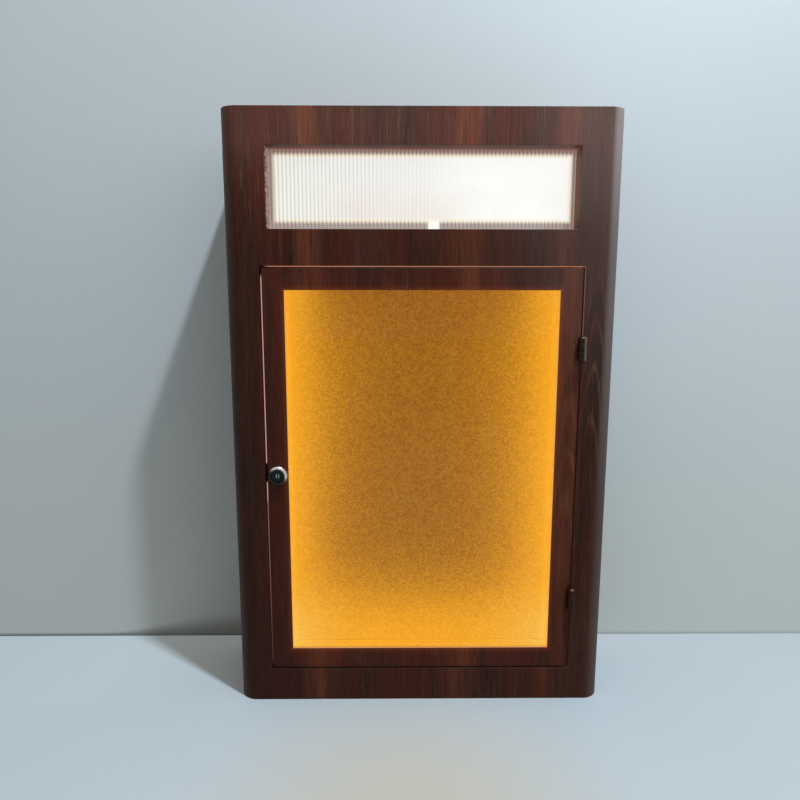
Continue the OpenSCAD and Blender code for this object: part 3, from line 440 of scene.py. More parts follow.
VECTOR = ("Vector", "Vector", None)
AWAY = 9.0
EFFECTS = (
    ("Soft edges", [("Radius", "Float", 0.7 * MM)],
     [("Normal", "Vector"), ("Edge", "Float")], build_soft_edges),
    ("Wood film",
     [VECTOR, ("Seed", "Float", 0.0), ("Dark", "Color", (0.02, 0.01, 0.007)),
      ("Mid", "Color", (0.05, 0.02, 0.013)), ("Red", "Color", (0.06, 0.014, 0.01)),
      ("Pale", "Color", (0.12, 0.07, 0.05)), ("Streak", "Color", (0.16, 0.045, 0.024)),
      ("Streaks", "Float", 0.5), ("Streak 1", "Float", AWAY), ("Streak 2", "Float", AWAY),
      ("Streak 3", "Float", AWAY), ("Arch", "Float", 0.0), ("Arch X", "Float", 0.0),
      ("Arch Z", "Float", 0.0)],
     [("Color", "Color"), ("Roughness", "Float"), ("Height", "Float")], build_film),
    ("Handling", [VECTOR, ("Dust", "Float", 0.3), ("Smudge", "Float", 0.3)],
     [("Dust", "Float"), ("Smudge", "Float")], build_handling),
    ("Metal", [VECTOR, ("Stretch", "Vector", None)],
     [("Tone", "Float"), ("Scratch", "Float"), ("Height", "Float")], build_metal),
    ("Moulded", [VECTOR, ("Grain", "Float", 1500.0)],
     [("Waves", "Float"), ("Stipple", "Float")], build_moulded),
    ("Granular amber",
     [VECTOR, ("Middle", "Color", (0.27, 0.1, 0.0)), ("Edge", "Color", (0.85, 0.34, 0.01)),
      ("Reach", "Float", 0.045), ("Left", "Float", -0.1), ("Right", "Float", 0.1),
      ("Low", "Float", 0.0), ("High", "Float", 0.4), ("Clump", "Float", 0.5)],
     [("Color", "Color"), ("Fine", "Float"), ("Height", "Float")], build_amber),
)


def effects():
    """Build each shared effect once."""
    for name, inputs, outputs, build in EFFECTS:
        if name not in bpy.data.node_groups:
            effect(name, inputs, outputs, build)


# Settings

def colour_property(name, description, default):
    """A colour that a user may change."""
    return FloatVectorProperty(name=name, description=description, default=default,
                               subtype="COLOR", size=3, min=0.0, max=1.0)


class CaseFilmSettings(bpy.types.PropertyGroup):
    """Wood film on the boards and the door."""
    dark: colour_property("Dark", "Darkest bands of the film", (0.0285, 0.0082, 0.0040))
    mid: colour_property("Middle", "Lighter bands of the film", (0.082, 0.0255, 0.0130))
    red: colour_property("Red", "Red cast of some bands", (0.092, 0.0135, 0.0055))
    pale: colour_property("Pale", "Fine light lines of the film", (0.185, 0.098, 0.066))
    streak: colour_property("Streak", "Broad reddish streaks", (0.235, 0.058, 0.021))
    edge_radius: FloatProperty(name="Edge radius", description="Softness of the boards' edges",
                               default=0.7 * MM, min=0.0, unit="LENGTH")
    # Painted shade: the film's tone at its foot and at its head, darker lower down.
    fade: FloatVectorProperty(name="Fade", description="Tone of the film at its foot and its head",
                              default=(0.56, 1.08), size=2, min=0.0)


class CaseGlowSettings(bpy.types.PropertyGroup):
    """Lit surfaces."""
    panel_middle: colour_property("Panel middle", "Panel where it is least lit",
                                  (0.294, 0.111, 0.006))
    panel_edge: colour_property("Panel edge", "Panel next to the light channels",
                                (0.900, 0.375, 0.012))
    header: colour_property("Header", "Diffuser behind the ribbed panel", (1.0, 0.985, 0.95))
    gap: colour_property("Gap", "Light in the gap beside the door", (0.72, 0.37, 0.31))
    reach: FloatProperty(name="Reach", description="How far the channels light the panel",
                         default=0.045, min=0.001, unit="LENGTH")
    grain_seed: IntProperty(name="Panel grain seed", description="Seed of the panel's granules",
                            default=7, min=0)


class CaseHardwareSettings(bpy.types.PropertyGroup):
    """Hinges, lock and screws."""
    bronze: colour_property("Bronze", "Hinge plating", (0.028, 0.017, 0.013))
    chrome: colour_property("Chrome", "Ring of the lock", (1.0, 0.85, 0.81))
    plug: colour_property("Plug", "Turning face of the lock", (0.014, 0.020, 0.016))
    zinc: colour_property("Zinc", "Screws and plates", (0.52, 0.53, 0.54))


class CaseStageSettings(bpy.types.PropertyGroup):
    """Floor, wall, lamp, sky and camera."""
    floor: colour_property("Floor", "Floor colour", (0.290, 0.325, 0.350))
    wall: colour_property("Wall", "Wall colour", (0.398, 0.424, 0.432))
    wall_gap: FloatProperty(name="Wall distance", description="From the front face to the wall",
                            default=0.140, unit="LENGTH")
    key: FloatProperty(name="Key lamp", description="Power of the lamp overhead",
                       default=53.0, min=0.0, unit="POWER")
    sky: FloatProperty(name="Sky", description="Strength of the light all round",
                       default=1.0, min=0.0)
    lens: FloatProperty(name="Lens", description="Focal length on a 36 mm sensor",
                        default=29.7, min=1.0, unit="CAMERA")


# Wood film

PLAIN = dict(streaks=(AWAY, AWAY, AWAY), loose=0.6, arch=(0.0, 0.0, 0.0), across=False)

# streaks: their places along x, or AWAY; loose: weight of the others; arch: weight, x, z
FILM_PIECES = {
    "front_frame": dict(PLAIN, seed=0.0, streaks=(-0.115, 0.043, 0.142), loose=0.25,
                        arch=(1.0, 0.1768, 0.4632)),
    "left_side": dict(PLAIN, seed=1.0),
    "right_side": dict(PLAIN, seed=2.0),
    "top_board": dict(PLAIN, seed=3.0, across=True),
    "bottom_board": dict(PLAIN, seed=4.0, loose=0.5, across=True),
    "door_stile_left": dict(PLAIN, seed=5.0, loose=0.2),
    "door_stile_right": dict(PLAIN, seed=6.0, streaks=(0.153, AWAY, AWAY), loose=0.2,
                             arch=(0.55, 0.1545, 0.3725)),
    "door_rail_top": dict(PLAIN, seed=7.0, streaks=(0.051, -0.115, AWAY), loose=0.3),
    "door_rail_bottom": dict(PLAIN, seed=8.0, streaks=(0.047, -0.112, AWAY), loose=0.3),
    "glazing_beads_upright": dict(PLAIN, seed=9.0, loose=0.3),
    "glazing_beads_level": dict(PLAIN, seed=9.5, loose=0.3),
}
STRIKE_LOW, STRIKE_HIGH = (corner[2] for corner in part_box("strike_plate"))
GAP_TOP = (0.62, 0.22, 0.10)
GAP_RIGHT = (0.020, 0.006, 0.004)
GAP_RIGHT_RIM = (0.140, 0.080, 0.068)


def gap_glow(net, place, colour):
    """Painted light on the left and top faces of the door opening, and a dim painted glow at its
    right.

    The strike plate shades its stretch of the left face, and the light is weaker below it.
    """
    x, y, z = net.split(place)
    depth = y - FRONT_Y
    lower = net.most(net.ramp(z, STRIKE_LOW - 28.5 * MM, STRIKE_LOW - 15 * MM, 0.0, 0.8),
                     net.ramp(z, OPENING_LOW + 3 * MM, STRIKE_LOW - 17 * MM, 0.10, 0.30))
    strike = net.most(net.ramp(z, STRIKE_HIGH, STRIKE_HIGH + 2 * MM),
                      net.ramp(z, STRIKE_LOW + 2 * MM, STRIKE_LOW))
    left = (net.on(x, OPENING_LEFT) * net.ramp(z, OPENING_HIGH - 7 * MM, OPENING_HIGH - 13 * MM)
            * lower * strike * net.ramp(z, OPENING_LOW - 1 * MM, OPENING_LOW + 7 * MM))
    top = (net.on(z, OPENING_HIGH) * net.ramp(x, OPENING_LEFT + 2 * MM, OPENING_LEFT + 8 * MM)
           * net.ramp(x, OPENING_RIGHT + 1 * MM, OPENING_RIGHT - 0.5 * MM) * 0.75)
    deep = net.ramp(depth, 4.2 * MM, 5.2 * MM) * net.ramp(depth, 10.8 * MM, 9.8 * MM)
    share = net.most(left * deep, top * net.ramp(depth, 0.4 * MM, 1.6 * MM))
    lit = net.mix(share, UNLIT, net.mix(top, colour, GAP_TOP))
    # Painted light: a dim glow on the right face, with a paler rim along its upper part at the front.
    right = (net.on(x, OPENING_RIGHT) * net.ramp(z, OPENING_LOW - 3 * MM, OPENING_LOW + 3 * MM)
             * net.ramp(z, OPENING_HIGH, OPENING_HIGH - 1.5 * MM))
    rim = (net.ramp(z, OPENING_HIGH - 89 * MM, OPENING_HIGH - 74 * MM)
           * net.ramp(depth, 1.8 * MM, 0.6 * MM))
    return net.mix(right, lit, net.mix(rim, GAP_RIGHT, GAP_RIGHT_RIM))


WINDOW_LAP = 8 * MM
WINDOW_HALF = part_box("ribbed_panel")[1][0] - WINDOW_LAP
WINDOW_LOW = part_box("ribbed_panel")[0][2] + WINDOW_LAP
WINDOW_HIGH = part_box("ribbed_panel")[1][2] - WINDOW_LAP
LAP_PALE, LAP_DARK = (0.31, 0.22, 0.20), (0.19, 0.125, 0.112)
WINDOW_RIGHT_DARK, WINDOW_RIGHT_PALE = (0.080, 0.024, 0.011), (0.130, 0.046, 0.020)
WINDOW_TOP_FRONT, WINDOW_TOP_REAR = (0.012, 0.002, 0.002), (0.130, 0.062, 0.048)


def window_glow(net, place):
    """Header light on the faces of its window: a bare, rough lap at the left, film elsewhere."""
    x, y, z = net.split(place)
    depth = y - FRONT_Y
    side = (net.on(abs(x), WINDOW_HALF) * net.ramp(z, WINDOW_LOW - 5 * MM, WINDOW_LOW - 2 * MM)
            * net.ramp(z, WINDOW_HIGH + 6 * MM, WINDOW_HIGH + 2 * MM))
    wander = net.noise(place, (110.0, 110.0, 260.0), detail=3.0, rough=0.6)
    start = net.ramp(wander, 0.40, 0.62, 1 * MM, 9 * MM)
    left = side * net.ramp(x, 0.01, -0.01) * net.ramp(depth - start, 0.0, 5 * MM)
    rise = net.ramp(depth, 1 * MM, 22 * MM)
    right = side * net.ramp(x, -0.01, 0.01) * rise
    over = (net.on(z, WINDOW_HIGH)
            * net.ramp(abs(x), WINDOW_HALF + 0.5 * MM, WINDOW_HALF - 1 * MM) * rise)
    lap = net.mix(net.ramp(wander, 0.35, 0.60), LAP_PALE, LAP_DARK)
    colour = net.mix(left, UNLIT, lap)
    mottle = net.ramp(net.noise(place, 300.0), 0.35, 0.65)
    colour = net.mix(right, colour, net.mix(mottle, WINDOW_RIGHT_DARK, WINDOW_RIGHT_PALE))
    rear = net.ramp(depth, 7 * MM, 18 * MM)
    return net.mix(over, colour, net.mix(rear, WINDOW_TOP_FRONT, WINDOW_TOP_REAR))


SIGHT_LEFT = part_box("door_stile_left")[1][0]
SIGHT_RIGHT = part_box("door_stile_right")[0][0]
SIGHT_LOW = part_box("door_rail_bottom")[1][2]
SIGHT_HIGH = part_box("door_rail_top")[0][2]
SIGHT_EDGE = (0.66, 0.30, 0.080)
SIGHT_HALO = (0.054, 0.010, 0.0006)
SIGHT_SHEEN = (0.0135, 0.0012, 0.0003)


def sight_glow(net, place):
    """Panel light on the edges of the door's sight opening, and a red-brown halo on its face."""
    x, y, z = net.split(place)
    over = net.most(SIGHT_LEFT - x, x - SIGHT_RIGHT, SIGHT_LOW - z, z - SIGHT_HIGH)
    edge = net.ramp(over, 0.4 * MM, 0.1 * MM) * net.ramp(y - FRONT_Y, 0.3 * MM, 0.8 * MM)
    halo = net.ramp(over, 7.5 * MM, 0.0) ** 2.0
    wide = net.ramp(over, 30 * MM, 4 * MM) * net.ramp(x, SIGHT_RIGHT, SIGHT_LEFT, 0.4, 1.0)
    colour = net.mix(wide, UNLIT, SIGHT_SHEEN)
    colour = net.mix(halo, colour, SIGHT_HALO)
    return net.mix(edge, colour, SIGHT_EDGE)


HALF_WIDTH, _, CASE_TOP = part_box("front_frame")[1]
SHEEN_WIDTH_LEFT = 12.5 * MM
SHEEN_WIDTH_RIGHT = 18 * MM
PAINTED_SHEEN_COLOUR = (0.225, 0.184, 0.172)
FILM_WEAR = (0.10, 0.052, 0.034)
FILM_DUST = (0.20, 0.18, 0.17)


def painted_sheen(net, place, front):
    """Painted sheen by place, a pale painted reflection: at the upper right, on the header, and on
    the front's round edges.
    """
    x, y, z = net.split(place)
    broad_sheen = net.most(net.ramp(x, 0.03, HALF_WIDTH - 5 * MM, 0.0, 0.26) * net.ramp(z, 0.28, 0.56),
                    net.ramp(z, 0.54, 0.60, 0.0, 0.07))
    if not front:
        return broad_sheen
    width = net.ramp(x, -HALF_WIDTH / 2, HALF_WIDTH / 2, SHEEN_WIDTH_LEFT, SHEEN_WIDTH_RIGHT)
    inward = width - (HALF_WIDTH - abs(x))
    round_edge = net.ramp(y - FRONT_Y, 15 * MM, 9 * MM) * net.ramp(inward, 0.0, 10 * MM)
    right = net.ramp(x, -HALF_WIDTH / 2, HALF_WIDTH / 2) * net.ramp(z, 0.16, 0.56, 0.05, 1.0)
    return net.most(broad_sheen, round_edge * net.between(right, 0.20, 0.95))


def painted_shade_gain(net, place, node, fade):
    """Painted shade on the film by place: darker downwards, and darker at the lower left."""
    x, _, z = net.split(place)
    left = net.ramp(x, -HALF_WIDTH / 2, 50 * MM - HALF_WIDTH, 1.0, 0.70)
    gain = (net.ramp(z, OPENING_HIGH + 1 * MM, CASE_TOP - 6 * MM, *fade)
            * net.between(net.ramp(z, 0.56, 0.30), 1.0, left))
    # Painted shade: the right stile is darker at its foot.
    if node == "door_stile_right":
        gain = gain * net.ramp(z, 0.06, 0.24, 0.60, 1.0)
    return gain


def film_finish(node, film, glow):
    """Wood film for one board: edge wear, smudges, dust, and painted sheen, shade and light."""
    piece = FILM_PIECES[node]
    front = node == "front_frame"
    lit = front or node.startswith("door_")

    def build(net, place):
        turn = (0.0, math.radians(90.0), 0.0) if piece["across"] else (0.0, 0.0, 0.0)
        spot = net.take(0, "Mapping", {0: place, 2: turn})
        streaks = {f"Streak_{i + 1}": x for i, x in enumerate(piece["streaks"])}
        arch = dict(zip(("Arch", "Arch_X", "Arch_Z"), piece["arch"]))
        colour, rough, height = net.use(
            "Wood film", Vector=spot, Seed=piece["seed"], Dark=film.dark, Mid=film.mid,
            Red=film.red, Pale=film.pale, Streak=film.streak, Streaks=piece["loose"],
            **streaks, **arch)
        soft, edge = net.use("Soft edges", Radius=film.edge_radius)
        dust, smudge = net.use("Handling", Vector=place, Dust=0.25, Smudge=0.5)
        worn = edge * net.ramp(net.noise(place, 70.0), 0.42, 0.64)
        colour = net.mix(worn * 0.45, colour, FILM_WEAR)
        colour = net.mix(dust, colour, FILM_DUST)
        # Painted sheen: a pale painted reflection on the round edges, at the upper right and on the
        # header.
        colour = net.mix(painted_sheen(net, place, front), colour, PAINTED_SHEEN_COLOUR)
        # Painted shade: the film is darker downwards and at the lower left.
        values = {"Base Color": net.scaled(colour, painted_shade_gain(net, place, node, film.fade)),
                  "Roughness": rough + smudge * 0.10,
                  "Normal": net.bump(height, 0.12 * MM, soft)}
        if front:
            gap = gap_glow(net, place, glow.gap)
            values["Emission Color"] = net.mix(1.0, gap, window_glow(net, place), "ADD")
        elif lit:
            values["Emission Color"] = sight_glow(net, place)
        return values

    strength = {"Emission_Strength": 1.0} if lit else {}
    return finish("Film " + node.replace("_", " "), build, IOR=1.2, **strength)


class CASE_OT_film(bpy.types.Operator):
    """Wood film on the cabinet's boards, the door's members and the glazing beads"""
    bl_idname = "case.film"
    bl_label = "Film on boards and door"

    def execute(self, context):
        effects()
        for node in FILM_PIECES:
            dress(film_finish(node, context.scene.case_film, context.scene.case_glow), node)
        return {"FINISHED"}


# Inner boards

def raw_wood(name, base, dark, grain, along):
    """Unfinished timber: growth lines along one way and short flecks."""
    def build(net, place):
        lines = net.noise(place, lengthwise(along, grain * 0.03, grain), detail=4.0, rough=0.6)
        flecks = net.noise(place, lengthwise(along, 168.0, 1400.0), detail=1.0)
        soft, edge = net.use("Soft edges", Radius=0.5 * MM)
        colour = net.mix(net.ramp(lines, 0.3, 0.7), base, dark)
        colour = net.mix(net.ramp(flecks, 0.62, 0.74) * 0.5, colour, toned(dark, 0.6))
        colour = net.mix(edge * 0.3, colour, dark)
        return {"Base Color": colour, "Roughness": net.ramp(lines, 0.2, 0.8, 0.55, 0.75),
                "Normal": net.bump(lines, 0.2 * MM, soft)}
    return finish(name, build)


def pressed_board(name, base, dark, size, sheen):
    """Pressed fibres: mottled tone, loose fibres and darker cut edges."""
    def build(net, place):
        mottle = net.noise(place, size, detail=5.0, rough=0.7)
        fibres = net.noise(place, (size * 9.0, size * 9.0, size * 2.2))
        soft, edge = net.use("Soft edges", Radius=0.6 * MM)
        dust, smudge = net.use("Handling", Vector=place, Dust=0.35, Smudge=0.4)
        tone = mottle * 0.6 + fibres * 0.4
        colour = net.mix(net.ramp(tone, 0.38, 0.62), dark, base)
        colour = net.mix(edge * 0.4, colour, dark)
        colour = net.mix(dust, colour, (0.42, 0.39, 0.35))
        rough = net.ramp(fibres, 0.2, 0.8, sheen, sheen + 0.2) - smudge * 0.08
        return {"Base Color": colour, "Roughness": rough, "Normal": net.bump(fibres, 0.1 * MM, soft)}
    return finish(name, build)


class CASE_OT_inner_boards(bpy.types.Operator):
    """Fibreboard, beech and hardboard inside and behind the cabinet"""
    bl_idname = "case.inner_boards"
    bl_label = "Inner boards and rear cover"

    def execute(self, context):
        effects()
        board = pressed_board("Fibreboard", (0.34, 0.235, 0.145), (0.22, 0.145, 0.085), 60.0, 0.55)
        dress(board, "divider_shelf", "backing_board", "door_stop_bottom", "door_stop_right")
        dress(pressed_board("Hardboard", (0.215, 0.122, 0.066), (0.160, 0.088, 0.047), 95.0, 0.38),
              "rear_cover")
        dress(raw_wood("Beech cleats", (0.56, 0.385, 0.235), (0.42, 0.265, 0.150), 300.0, 0),
              "backing_cleats")
        dress(raw_wood("Beech dowels", (0.58, 0.40, 0.25), (0.45, 0.29, 0.17), 600.0, 1),
              "carcass_dowels")
        return {"FINISHED"}


# Header light

def strip_finish(name, node, lit):
    """White board with printed tracks, and chips that stand proud of its front and shine."""
    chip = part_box(node)[0][1] + 0.5 * MM

    def build(net, place):
        on_chip = net.ramp(net.split(place)[1], chip + 0.1 * MM, chip - 0.1 * MM)
        tracks = net.noise(place, 160.0, detail=1.0)
        colour = net.mix(net.ramp(tracks, 0.52, 0.55), (0.72, 0.72, 0.70), (0.60, 0.61, 0.58))
        colour = net.mix(on_chip, colour, (0.85, 0.72, 0.30))
        soft, _ = net.use("Soft edges", Radius=0.2 * MM)
        return {"Base Color": colour, "Roughness": net.ramp(tracks, 0.3, 0.7, 0.35, 0.5),
                "Normal": soft, "Emission Color": net.mix(on_chip, UNLIT, lit)}
    return finish(name, build, Emission_Strength=1.0)


RIB_PITCH = 4 * MM
NOTCH_X = 12 * MM
NOTCH_HALF = 6.2 * MM
DIFFUSER_LOW, DIFFUSER_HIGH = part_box("header_diffuser")
LIT_LEFT = DIFFUSER_LOW[0] + 0.5 * MM
LIT_RIGHT = DIFFUSER_HIGH[0] + 0.3 * MM
LIT_LOW = DIFFUSER_LOW[2] + 0.2 * MM
LIT_HIGH = DIFFUSER_HIGH[2] - 0.3 * MM
OPAL_LEFT, OPAL_RIGHT = (0.790, 0.800, 0.735), (0.890, 0.890, 0.860)
OPAL_GREY = (0.760, 0.735, 0.720)
OPAL_PEACH = (0.780, 0.700, 0.625)
OPAL_CLOUD = (0.800, 0.790, 0.770)
OPAL_RIM = (0.840, 0.740, 0.520)
OPAL_VALLEY = (0.400, 0.400, 0.350)
BORDER_LOWER, BORDER_UPPER = (0.300, 0.222, 0.190), (0.272, 0.155, 0.125)
TICK_LOWER, TICK_UPPER = (0.120, 0.080, 0.068), (0.082, 0.040, 0.032)
BORDER_SPECK = (0.15, 0.10, 0.09)
NOTCH_LIGHT = (0.860, 0.840, 0.780)


def opal_white(net, place, valley):
    """Tone of the lit field: whiter to the right, peach below, cream at its rim, ribbed left."""
    x, _, z = net.split(place)
    near = net.least(x - LIT_LEFT, LIT_RIGHT - x, z - LIT_LOW, LIT_HIGH - z)
    cloud = net.ramp(net.noise(place, (12.0, 12.0, 26.0)), 0.38, 0.62)
    grey = net.ramp(x, -0.13, -0.05) * net.ramp(x, 0.05, -0.02, 0.0, 0.6)
    peach = (net.ramp(z, 0.565, 0.528) * net.ramp(x, -0.145, -0.06)
             * net.ramp(x, 0.07, 0.01) * 0.6)
    white = net.mix(net.ramp(x, -0.150, 0.120), OPAL_LEFT, OPAL_RIGHT)
    white = net.mix(grey, white, OPAL_GREY)
    white = net.mix(peach, white, OPAL_PEACH)
    white = net.mix(cloud * 0.25, white, OPAL_CLOUD)
    white = net.mix(net.ramp(near, 5 * MM, 0.4 * MM) * 0.75, white, OPAL_RIM)
    ribbed = valley * net.ramp(x, -0.150, 0.060, 0.58, 0.04)
    return net.mix(ribbed, white, OPAL_VALLEY)


def ribbed_finish():
    """Ribbed opal sheet, lit from behind; its light is painted on as emission.

    A soft-edged white field stands in a pinkish border. Each valley between two ribs is
    painted darker, most of all at the left.
    """
    def build(net, place):
        x, _, z = net.split(place)
        waves, stipple = net.use("Moulded", Vector=place, Grain=900.0)
        rib = net.math("COSINE", x * (2.0 * math.pi / RIB_PITCH))
        valley = net.ramp(rib, -0.1, -1.0)
        reach = rib * (0.5 * MM)
        field = (net.ramp(x, LIT_LEFT - 2.6 * MM, LIT_LEFT + 2 * MM)
                 * net.ramp(x, LIT_RIGHT + 2 * MM, LIT_RIGHT - 1.6 * MM)
                 * net.ramp(z + reach, LIT_LOW - 2.6 * MM, LIT_LOW + 2.2 * MM)
                 * net.ramp(z - reach, LIT_HIGH + 3 * MM, LIT_HIGH - 2.6 * MM))
        notch = (net.ramp(abs(x - NOTCH_X), NOTCH_HALF + 0.8 * MM, NOTCH_HALF - 1.4 * MM)
                 * net.ramp(z, LIT_LOW + 4 * MM, LIT_LOW))
        up = net.ramp(z, LIT_HIGH - 4 * MM, LIT_HIGH + 4 * MM)
        tick = net.mix(up, TICK_LOWER, TICK_UPPER)
        border = net.mix(valley * 0.66, net.mix(up, BORDER_LOWER, BORDER_UPPER), tick)
        border = net.mix(net.ramp(stipple, 0.3, 0.7, 0.0, 0.35), border, BORDER_SPECK)
        colour = net.mix(field, border, opal_white(net, place, valley))
        colour = net.mix(notch, colour, NOTCH_LIGHT)
        return {"Base Color": net.mix(waves, (0.16, 0.15, 0.145), (0.20, 0.19, 0.185)),
                "Emission Color": colour, "Roughness": net.ramp(waves, 0.0, 1.0, 0.22, 0.32),
                "Normal": net.bump(stipple, 0.02 * MM)}
    return finish("Ribbed opal", build, Emission_Strength=1.0)


def header_opal_finish(glow):
    """Lit opal sheet: white middle, creamy and weaker towards its rim."""
    def build(net, place):
        x, _, z = net.split(place)
        rim = net.least(x - DIFFUSER_LOW[0], DIFFUSER_HIGH[0] - x,
                        z - DIFFUSER_LOW[2], DIFFUSER_HIGH[2] - z)
        cream = net.ramp(rim, 10 * MM, 0.5 * MM)
        _, stipple = net.use("Moulded", Vector=place, Grain=1100.0)
        colour = net.mix(cream, glow.header, (1.0, 0.86, 0.56))
        colour = net.mix(stipple * 0.06, colour, (0.80, 0.80, 0.80))
        return {"Base Color": net.mix(stipple, (0.82, 0.82, 0.80), (0.88, 0.88, 0.86)),
                "Emission Color": colour, "Normal": net.bump(stipple, 0.03 * MM)}
    return finish("Header opal", build, Roughness=0.45, Emission_Strength=1.0)


def enamel_finish():
    """White stoved enamel with a slight peel and dust on level faces."""
    def build(net, place):
        waves, stipple = net.use("Moulded", Vector=place, Grain=650.0)
        soft, edge = net.use("Soft edges", Radius=0.4 * MM)
        dust, _ = net.use("Handling", Vector=place, Dust=0.3, Smudge=0.3)
        colour = net.mix(waves, (0.78, 0.77, 0.75), (0.84, 0.83, 0.81))
        colour = net.mix(edge * 0.3, colour, (0.55, 0.54, 0.52))
        colour = net.mix(dust, colour, (0.55, 0.52, 0.48))
        return {"Base Color": colour, "Roughness": net.ramp(stipple, 0.2, 0.8, 0.30, 0.42),
                "Normal": net.bump(stipple, 0.06 * MM, soft)}
    return finish("White enamel", build)


class CASE_OT_header(bpy.types.Operator):
    """Ribbed panel, light tray, diffuser and strips in the header"""
    bl_idname = "case.header"
    bl_label = "Header light"

    def execute(self, context):
        effects()
        dress(ribbed_finish(), "ribbed_panel")
        dress(enamel_finish(), "header_tray")
        dress(header_opal_finish(context.scene.case_glow), "header_diffuser")
        dress(strip_finish("Header strips", "header_led_strips", (1.0, 0.95, 0.85)),
              "header_led_strips")
        return {"FINISHED"}


# Display panel

def relief(x, z, seed, cell):
    """Height 0 to 1 of rounded granules: 1 - (distance to the nearest scattered point)^2.

    Each square cell holds one point at a random spot, and the nine cells round a place are
    searched at once, as whole arrays.
    """
    random = np.random.default_rng(seed)
    wide, tall = int(x.max() / cell) + 4, int(z.max() / cell) + 4
    px, pz, tone = random.random((3, wide, tall))
    col, row = (x / cell).astype(int) + 1, (z / cell).astype(int) + 1
    steps = np.array([(a, b) for a in (-1, 0, 1) for b in (-1, 0, 1)])
    c, r = col[..., None] + steps[:, 0], row[..., None] + steps[:, 1]
    gap_x = c - 1 + px[c, r] - (x / cell)[..., None]
    gap_z = r - 1 + pz[c, r] - (z / cell)[..., None]
    away = np.hypot(gap_x, gap_z)
    near = away.argmin(axis=-1)[..., None]
    height = 1.0 - np.clip(np.take_along_axis(away, near, -1)[..., 0], 0.0, 1.0) ** 2
    return height, np.take_along_axis(tone[c, r], near, -1)[..., 0]


SEAM = 0.4 * MM
GRID_PITCH = 1.6 * MM
GRANULE = 4.2 * MM
RELIEF_DEPTH = 0.35 * MM
RIM_STEPS = 8.0


def granular_slab(name, seed, pitch, cell, depth):
    """The display panel: its front is a grid of points set back by the granules' relief.

    The relief fades out towards the rim. The front grid's border is carried straight back to a
    second ring, and the back is a fan round one middle point, so the slab is closed. A granule's
    random tone is kept per point.
    """
    low, high = (np.array(v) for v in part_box("display_panel"))
    low, high = low - (SEAM, 0, SEAM), high + (SEAM, 0, 0)
    size = high - low
    nx, nz = int(size[0] / pitch) + 1, int(size[2] / pitch) + 1
    gx, gz = np.meshgrid(np.linspace(0.0, size[0], nx), np.linspace(0.0, size[2], nz),
                         indexing="ij")
    height, tone = relief(gx, gz, seed, cell)
    rim = np.minimum(np.minimum(gx, size[0] - gx), np.minimum(gz, size[2] - gz))
    set_back = depth * (1.0 - height * np.clip(rim / (RIM_STEPS * pitch), 0.0, 1.0))
    front = np.stack([low[0] + gx, low[1] + set_back, low[2] + gz], -1).reshape(-1, 3)
    index = np.arange(nx * nz).reshape(nx, nz)
    quads = np.stack([index[:-1, :-1], index[1:, :-1], index[1:, 1:], index[:-1, 1:]], -1)
    ring = np.concatenate([index[:-1, 0], index[-1, :-1], index[:0:-1, -1], index[0, :0:-1]])
    back = front[ring] * (1, 0, 1) + (0, high[1], 0)
    middle = (low + high) / 2 * (1, 0, 1) + (0, high[1], 0)
    n, here = len(ring), nx * nz + np.arange(len(ring))
    after = np.roll(np.arange(n), -1)
    sides = np.stack([ring, here, here[after], ring[after]], -1)
    fan = np.stack([here, np.full(n, nx * nz + n), here[after]], -1)
    mesh = bpy.data.meshes.new(name)
    points = np.concatenate([front, back, middle[None]])
    mesh.from_pydata(points.tolist(), [], quads.reshape(-1, 4).tolist() + sides.tolist()
                     + fan.tolist())
    kept = mesh.attributes.new("granule", "FLOAT", "POINT")
    values = np.concatenate([tone.ravel(), np.full(n + 1, 0.5)]).astype(np.float32)
    kept.data.foreach_set("value", values)
    smooth = np.zeros(len(mesh.polygons), dtype=bool)
    smooth[:(nx - 1) * (nz - 1)] = True
    mesh.polygons.foreach_set("use_smooth", smooth)
    mesh.update()
    return mesh


PANEL_LOW, PANEL_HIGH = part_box("display_panel")


def amber(net, place, glow, clump=0.5):
    """The shared amber, laid out over the display panel."""
    return net.use("Granular amber", Vector=place, Middle=glow.panel_middle,
                   Edge=glow.panel_edge, Reach=glow.reach, Left=PANEL_LOW[0],
                   Right=PANEL_HIGH[0], Low=PANEL_LOW[2], High=PANEL_HIGH[2], Clump=clump)


def panel_finish(glow):
    """Amber granular face."""
    def build(net, place):
        clump = net.take("Fac", "Attribute", attribute_name="granule")
        lit, fine, height = amber(net, place, glow, clump)
        return {"Base Color": net.mix(fine, (0.045, 0.017, 0.001), (0.085, 0.034, 0.001)),
                "Emission Color": lit, "Roughness": net.ramp(fine, 0.2, 0.8, 0.55, 0.75),
                "Normal": net.bump(height, 0.25 * MM)}
    return finish("Granular amber", build, Emission_Strength=1.0, Specular_IOR_Level=0.06)


class CASE_OT_panel(bpy.types.Operator):
    """Display panel with a granular face"""
    bl_idname = "case.panel"
    bl_label = "Display panel"

    def execute(self, context):
        effects()
        name = "display_panel_granular"
        glow = context.scene.case_glow
        mesh = granular_slab(name, glow.grain_seed, GRID_PITCH, GRANULE, RELIEF_DEPTH)
        panel = bpy.data.objects.new(name, mesh)
        context.scene.collection.objects.link(panel)
        mesh.materials.append(panel_finish(glow))
        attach(panel, "cabinet")
        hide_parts("display_panel")
        return {"FINISHED"}


# Light channels

CHIP_PITCH = 16.7 * MM


